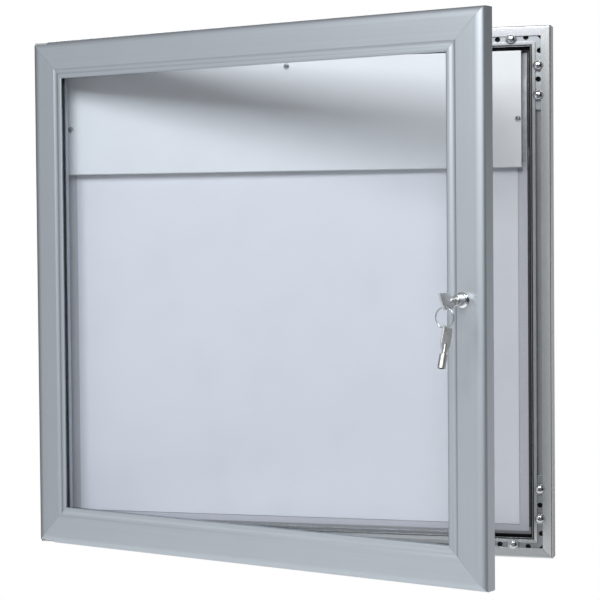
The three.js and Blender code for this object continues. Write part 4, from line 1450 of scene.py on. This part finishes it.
@dataclass
class Lock:
    """The cam lock: body with rosette and nose, turning plug, clip and cam."""

    rosette: float = 0.0095
    rosette_depths: Span = (0.002, 0.0015)
    rosette_radius: float = 0.0005
    nose: float = 0.0071
    nose_tip: float = 0.0067
    nose_end: float = -0.066
    neck: float = 0.0006
    neck_depths: Spot = (0.0022, 0.0018, 0.0006)
    barrel: float = 0.0078
    barrel_end: float = -0.0305
    bore: float = 0.0059
    notch: Span = (0.0064, 0.0095)
    plug: float = 0.0056
    plug_front: float = -0.0657
    post: float = 0.0033
    post_front: float = -0.0645
    groove: float = 0.0051
    groove_end: float = -0.0483
    tail: float = 0.0022
    tail_end: float = -0.0191
    corner: float = 0.0002
    bevel: float = 0.0002

    def shell(self) -> np.ndarray:
        """Nose with a ground rim and a turned neck, coned rosette, and barrel."""
        face, c, nose, neck = BOARD.door_front - BOARD.rest_gap, self.corner, self.nose, self.nose - self.neck
        (height, cone), (start, upper, lower) = self.rosette_depths, self.neck_depths
        top, blunt = face - height, self.rosette_radius
        rows = [
            (self.bore, self.nose_end, c), (self.nose_tip, self.nose_end, 0.0007),
            (nose, top - start, 0.0003), (neck, top - upper, c), (neck, top - lower, c), (nose, top, c),
            (nose + blunt, top, blunt), (self.rosette, top + cone, blunt), (self.rosette, face, 0.0001),
            (self.barrel, face, 0.0001), (self.barrel, self.barrel_end, 0.0005),
            (self.bore, self.barrel_end, c),
        ]  # fmt: skip
        return rounded(rows, 6)

    def core(self) -> np.ndarray:
        """The plug: a post, the ring groove that the key's tube enters, and the tail's stub."""
        post, groove, plug, tail = self.post, self.groove, self.plug, self.tail
        return rounded([
            (0, self.post_front, 0), (post, self.post_front, 0.0005), (post, self.groove_end, 0),
            (groove, self.groove_end, 0), (groove, self.plug_front, 0.0001),
            (plug, self.plug_front, 0.0001), (plug, self.barrel_end, 0.0004),
            (tail, self.barrel_end, 0), (tail, self.tail_end, 0.0004), (0, self.tail_end, 0),
        ])  # fmt: skip

    def build(self) -> None:
        """Makes the lock in the open door's place."""
        place = door_swing() @ at(BOARD.lock_x)
        low, high = self.notch
        notches = [block((-high, high), BOARD.clip_depths, span) for span in ((low, high), (-high, -low))]
        shell, cuts = turned(self.shell(), 96).placed(place), [notch.placed(place) for notch in notches]
        make("lock_shell", shell, CHROME, "door", "lock_body", cuts)
        core = turned(self.core(), 72).placed(place @ spun(BOARD.key_lean, "Y"))
        make("lock_core", core, CHROME, "lock_barrel", "lock_plug")
        for node, name, body in (("lock_clip", "fork_clip", "door"), ("lock_cam", "cam", "lock_barrel")):
            dress(copy_of_node(node, name, self.bevel), ZINC, body, node)


@dataclass
class Keys:
    """The key in the lock, the split ring and the spare key."""

    thickness: float = 0.0022
    stamping: float = 0.0003
    tube: float = 0.0048
    bore: float = 0.0036
    tube_length: float = 0.017
    cap: float = 0.0015
    collar: float = 0.0012
    shank: float = 0.0032
    shank_length: float = 0.013
    shoulder: float = 0.012
    shoulder_radius: float = 0.0025
    bow_length: float = 0.0215
    bow_width: float = 0.02
    bow_corner: float = 0.0006
    neck: float = 0.007
    hole: float = 0.0023
    hole_end: float = 0.004
    hole_side: float = 0.0065
    stand_off: float = -0.0663
    ring_radius: float = 0.0122
    ring_sag: float = 0.0009
    ring_start: float = 200.0
    wire: Span = (0.00033, 0.00068)
    wire_offset: float = 0.00036
    wire_step: float = 16.0
    wire_gap: float = 20.0
    wire_points: int = 260
    spare_turn: float = -108.3195

    def bow(self) -> Surface:
        """The flat bow with its hole, lying in the Y-Z plane with rounded stamping edges."""
        end, half, neck = -self.shoulder - self.bow_length, self.bow_width / 2, self.neck / 2
        c, slope = self.bow_corner, self.shoulder_radius
        rows = [
            (0, -neck, c), (0, neck, c), (-self.shoulder, half, slope),
            (end, half, c), (end, -half, c), (-self.shoulder, -half, slope),
        ]  # fmt: skip
        loops = oriented([rounded(rows, 6), circle(end + self.hole_end, -self.hole_side, self.hole)])
        return plate(loops, -self.thickness / 2, self.thickness / 2, self.stamping).placed(spun(90, "Z"))

    def stem(self) -> np.ndarray:
        """The shank with its collar, and the hollow tube."""
        start, end = -self.shank_length, self.tube_length
        return rounded([
            (0, start, 0), (self.shank, start, 0.0012), (self.shank, -self.collar, 0.0002),
            (self.tube, 0, 0.0003), (self.tube, end, 0.0003), (self.bore, end, 0.0002),
            (self.bore, self.cap, 0.0002), (0, self.cap, 0),
        ])  # fmt: skip

    def key(self, name: str, place: Matrix) -> bpy.types.Object:
        """One key: the bow and the stem joined into one solid."""
        made = raw_object(name, self.bow().placed(place))
        return combined(made, [raw_object(f"{name}_stem", turned(self.stem(), 56).placed(place))], "UNION")

    def ring(self) -> Surface:
        """Two turns of flattened wire. The wire steps from one turn to the next beside its ends.

        A point runs round a circle, at an offset across the ring that goes from one side to the
        other by a smooth step about the half-way angle.
        """
        step, gap = math.radians(self.wire_step), math.radians(self.wire_gap)
        angle = np.linspace(gap, 4 * math.pi - gap, self.wire_points)
        rise = np.clip((angle - (2 * math.pi - step)) / (2 * step), 0, 1)
        across = self.wire_offset * (2 * (3 * rise**2 - 2 * rise**3) - 1)
        turn, radius = angle + math.radians(self.ring_start), self.ring_radius
        path = np.stack([radius * np.cos(turn), across, radius * np.sin(turn)], axis=1)
        return tube(path, np.array([0, 1, 0]), self.wire)

    def build(self) -> None:
        """Makes the keys and the ring in the open door's place."""
        swing, lean = door_swing(), spun(BOARD.key_lean, "Y")
        reach = self.shoulder + self.bow_length - self.hole_end
        place = swing @ at(BOARD.lock_x) @ lean @ at(0, self.stand_off)
        dress(self.key("key_in_lock", place), KEY_STEEL, "key_in_lock", "key")
        hole = lean @ Vector((0, self.stand_off - reach, -self.hole_side))
        centre = Vector((BOARD.lock_x + hole.x, hole.y, hole.z - self.ring_sag - self.ring_radius))
        make("split_ring", self.ring().placed(swing @ at(*centre)), RING_STEEL, "ring", "key_ring")
        hang = at(*(centre + Vector((0, 0, -self.ring_radius - self.ring_sag))))
        own = spun(self.spare_turn, "X") @ at(0, reach, self.hole_side)
        dress(self.key("hanging_spare", swing @ hang @ own), KEY_STEEL, "hanging_key", "spare_key")


# Studio


@dataclass
class Studio:
    """Floor, studio light and the camera at the photograph's place.

    Each part of the mirrored room is given by its direction and by the ray's shares towards it
    at which the part begins and is whole. A lamp is given by its place, size and power.
    """

    floor_height: float = -0.9
    floor_half: float = 2.0
    floor_front: float = -1.1
    floor_glow: Color = (0.42, 0.42, 0.42)
    camera_place: Spot = (0.7215, -2.544, 0.08681)
    camera_turn: Spot = (16.209, -1.9016, 0.51139)
    lens: float = 115.452
    shift: Span = (0.03243, -0.01152)
    key_lamp: tuple[Spot, Span, float] = ((0.0, -2.54, 1.6), (2.0, 1.1), 83.0)
    back_lamp: tuple[Spot, Span, float] = ((-1.5, 2.3, 1.5), (1.6, 1.2), 34.0)
    fill: float = 0.16
    room: float = 0.3
    dimmed: float = 0.9
    backdrop: tuple[Spot, Span] = ((-0.35, 0.937, 0), (0.8, 0.95))
    backdrop_top: Span = (0.03, 0.09)
    screen: tuple[Spot, Span] = ((-0.616, -0.788, 0), (0.7, 0.99))
    screen_light: float = 0.95
    card: tuple[Spot, Span] = ((0.8, 0.6, 0), (0.85, 0.95))
    card_top: Span = (-0.06, 0.1)
    behind: tuple[Spot, Span] = ((0, 1, 0), (0, 0.3))
    beside: tuple[Spot, Span] = ((0.72, -0.69, 0), (0.8, 0.95))

    def camera(self) -> None:
        """The camera, turned about Z, then X, then its own axis."""
        data = bpy.data.cameras.new("camera")
        data.lens, data.sensor_width = self.lens, 36
        data.shift_x, data.shift_y = self.shift
        data.clip_start, data.clip_end = 0.01, 100
        yaw, pitch, roll = self.camera_turn
        turn = spun(yaw, "Z") @ spun(pitch, "X") @ spun(roll, "Y")
        made = linked("camera", data)
        made.matrix_world = at(*self.camera_place) @ turn @ spun(90, "X")
        bpy.context.scene.camera = made

    def lamp(self, name: str, place: Spot, size: Span, power: float) -> None:
        """A wide soft lamp that faces the board.

        Args:
            name: The lamp's name.
            place: Its middle.
            size: Its width and height.
            power: Its power in watts.
        """
        data = bpy.data.lights.new(name, "AREA")
        data.shape = "RECTANGLE"
        data.size, data.size_y = size
        data.energy = power
        made = linked(name, data)
        made.location = place
        made.rotation_euler = (-Vector(place)).to_track_quat("-Z", "Y").to_euler()

    def world(self) -> None:
        """A white backdrop with a dimmer room in front of it, and an even fill light.

        The camera sees white. A mirror sees a white sheet behind the board, a wide pale screen
        at its left and white paper low behind its right, each a smooth step of the ray's share
        towards it, and the dim room between them, near black behind the board and at the
        camera's right. All other rays get the fill.
        """
        world = bpy.data.worlds.new("studio")
        bpy.context.scene.world = world
        world.use_nodes = True
        shader = Shader(world.node_tree)
        where = shader.node("TexCoord", {})["Generated"]

        def towards(direction: Spot) -> Value:
            """The share of the ray that points in a direction."""
            inputs = {0: where, 1: direction}
            return Value(shader, shader.node("VectorMath", inputs, operation="DOT_PRODUCT")["Value"])

        parts = (self.backdrop, self.screen, self.card, self.behind, self.beside)
        backdrop, screen, card, behind, beside = (towards(way).between(*span) for way, span in parts)
        up = towards((0, 0, 1))
        backdrop = backdrop * (1 - (up * up).between(*self.backdrop_top))
        card = card * (1 - up.between(*self.card_top))
        room = self.room * (1 - self.dimmed * behind.most(beside))
        mirrored = room + (1 - room) * backdrop.most(self.screen_light * screen).most(card)
        camera, glossy, clear = shader.rays()
        strength = self.fill + (1 - self.fill) * camera.most(clear) + (mirrored - self.fill) * glossy
        light = shader.node("Background", {"Color": (1, 1, 1, 1), "Strength": strength})[0]
        shader.finish(light, "OutputWorld")

    def floor(self) -> None:
        """A pale floor below the hung board. It shows near white, with the board's shadow."""
        half, front = self.floor_half, self.floor_front
        corners = [(-half, front), (half, front), (half, half), (-half, half)]
        mesh = bpy.data.meshes.new("floor")
        mesh.from_pydata([(x, y, self.floor_height) for x, y in corners], [], [(0, 1, 2, 3)])
        made = linked("floor", mesh)
        material = bpy.data.materials.new("floor_paint")
        material.use_nodes = True
        shader = Shader(material.node_tree)
        camera, glossy, clear = shader.rays()
        speckle = shader.noise(shader.coordinates(), 40, 3)
        inputs = {
            "Base Color": shader.mixed(speckle, (0.86, 0.86, 0.86), (0.9, 0.9, 0.9)),
            "Roughness": 0.6,
            "Emission Color": shader.mixed(camera.most(glossy).most(clear), (0, 0, 0), self.floor_glow),
            "Emission Strength": 1.0,
        }
        shader.finish(shader.node("BsdfPrincipled", inputs)[0])
        mesh.materials.append(material)

    def build(self) -> None:
        """Makes the camera, lamps, world and floor."""
        bpy.context.scene.view_settings.view_transform = "Standard"
        self.camera()
        self.world()
        self.floor()
        self.lamp("key_lamp", *self.key_lamp)
        self.lamp("back_lamp", *self.back_lamp)


def main() -> None:
    """Builds the studio and every sub-assembly."""
    logging.basicConfig(level=logging.INFO, format="%(message)s")
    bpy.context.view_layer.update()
    Studio().build()
    for part in (Case(), CornerBrackets(), Header(), Hinges(), Door(), Glazing(), Lock(), Keys()):
        part.build()
    bpy.context.view_layer.update()


if __name__ == "__main__":
    main()
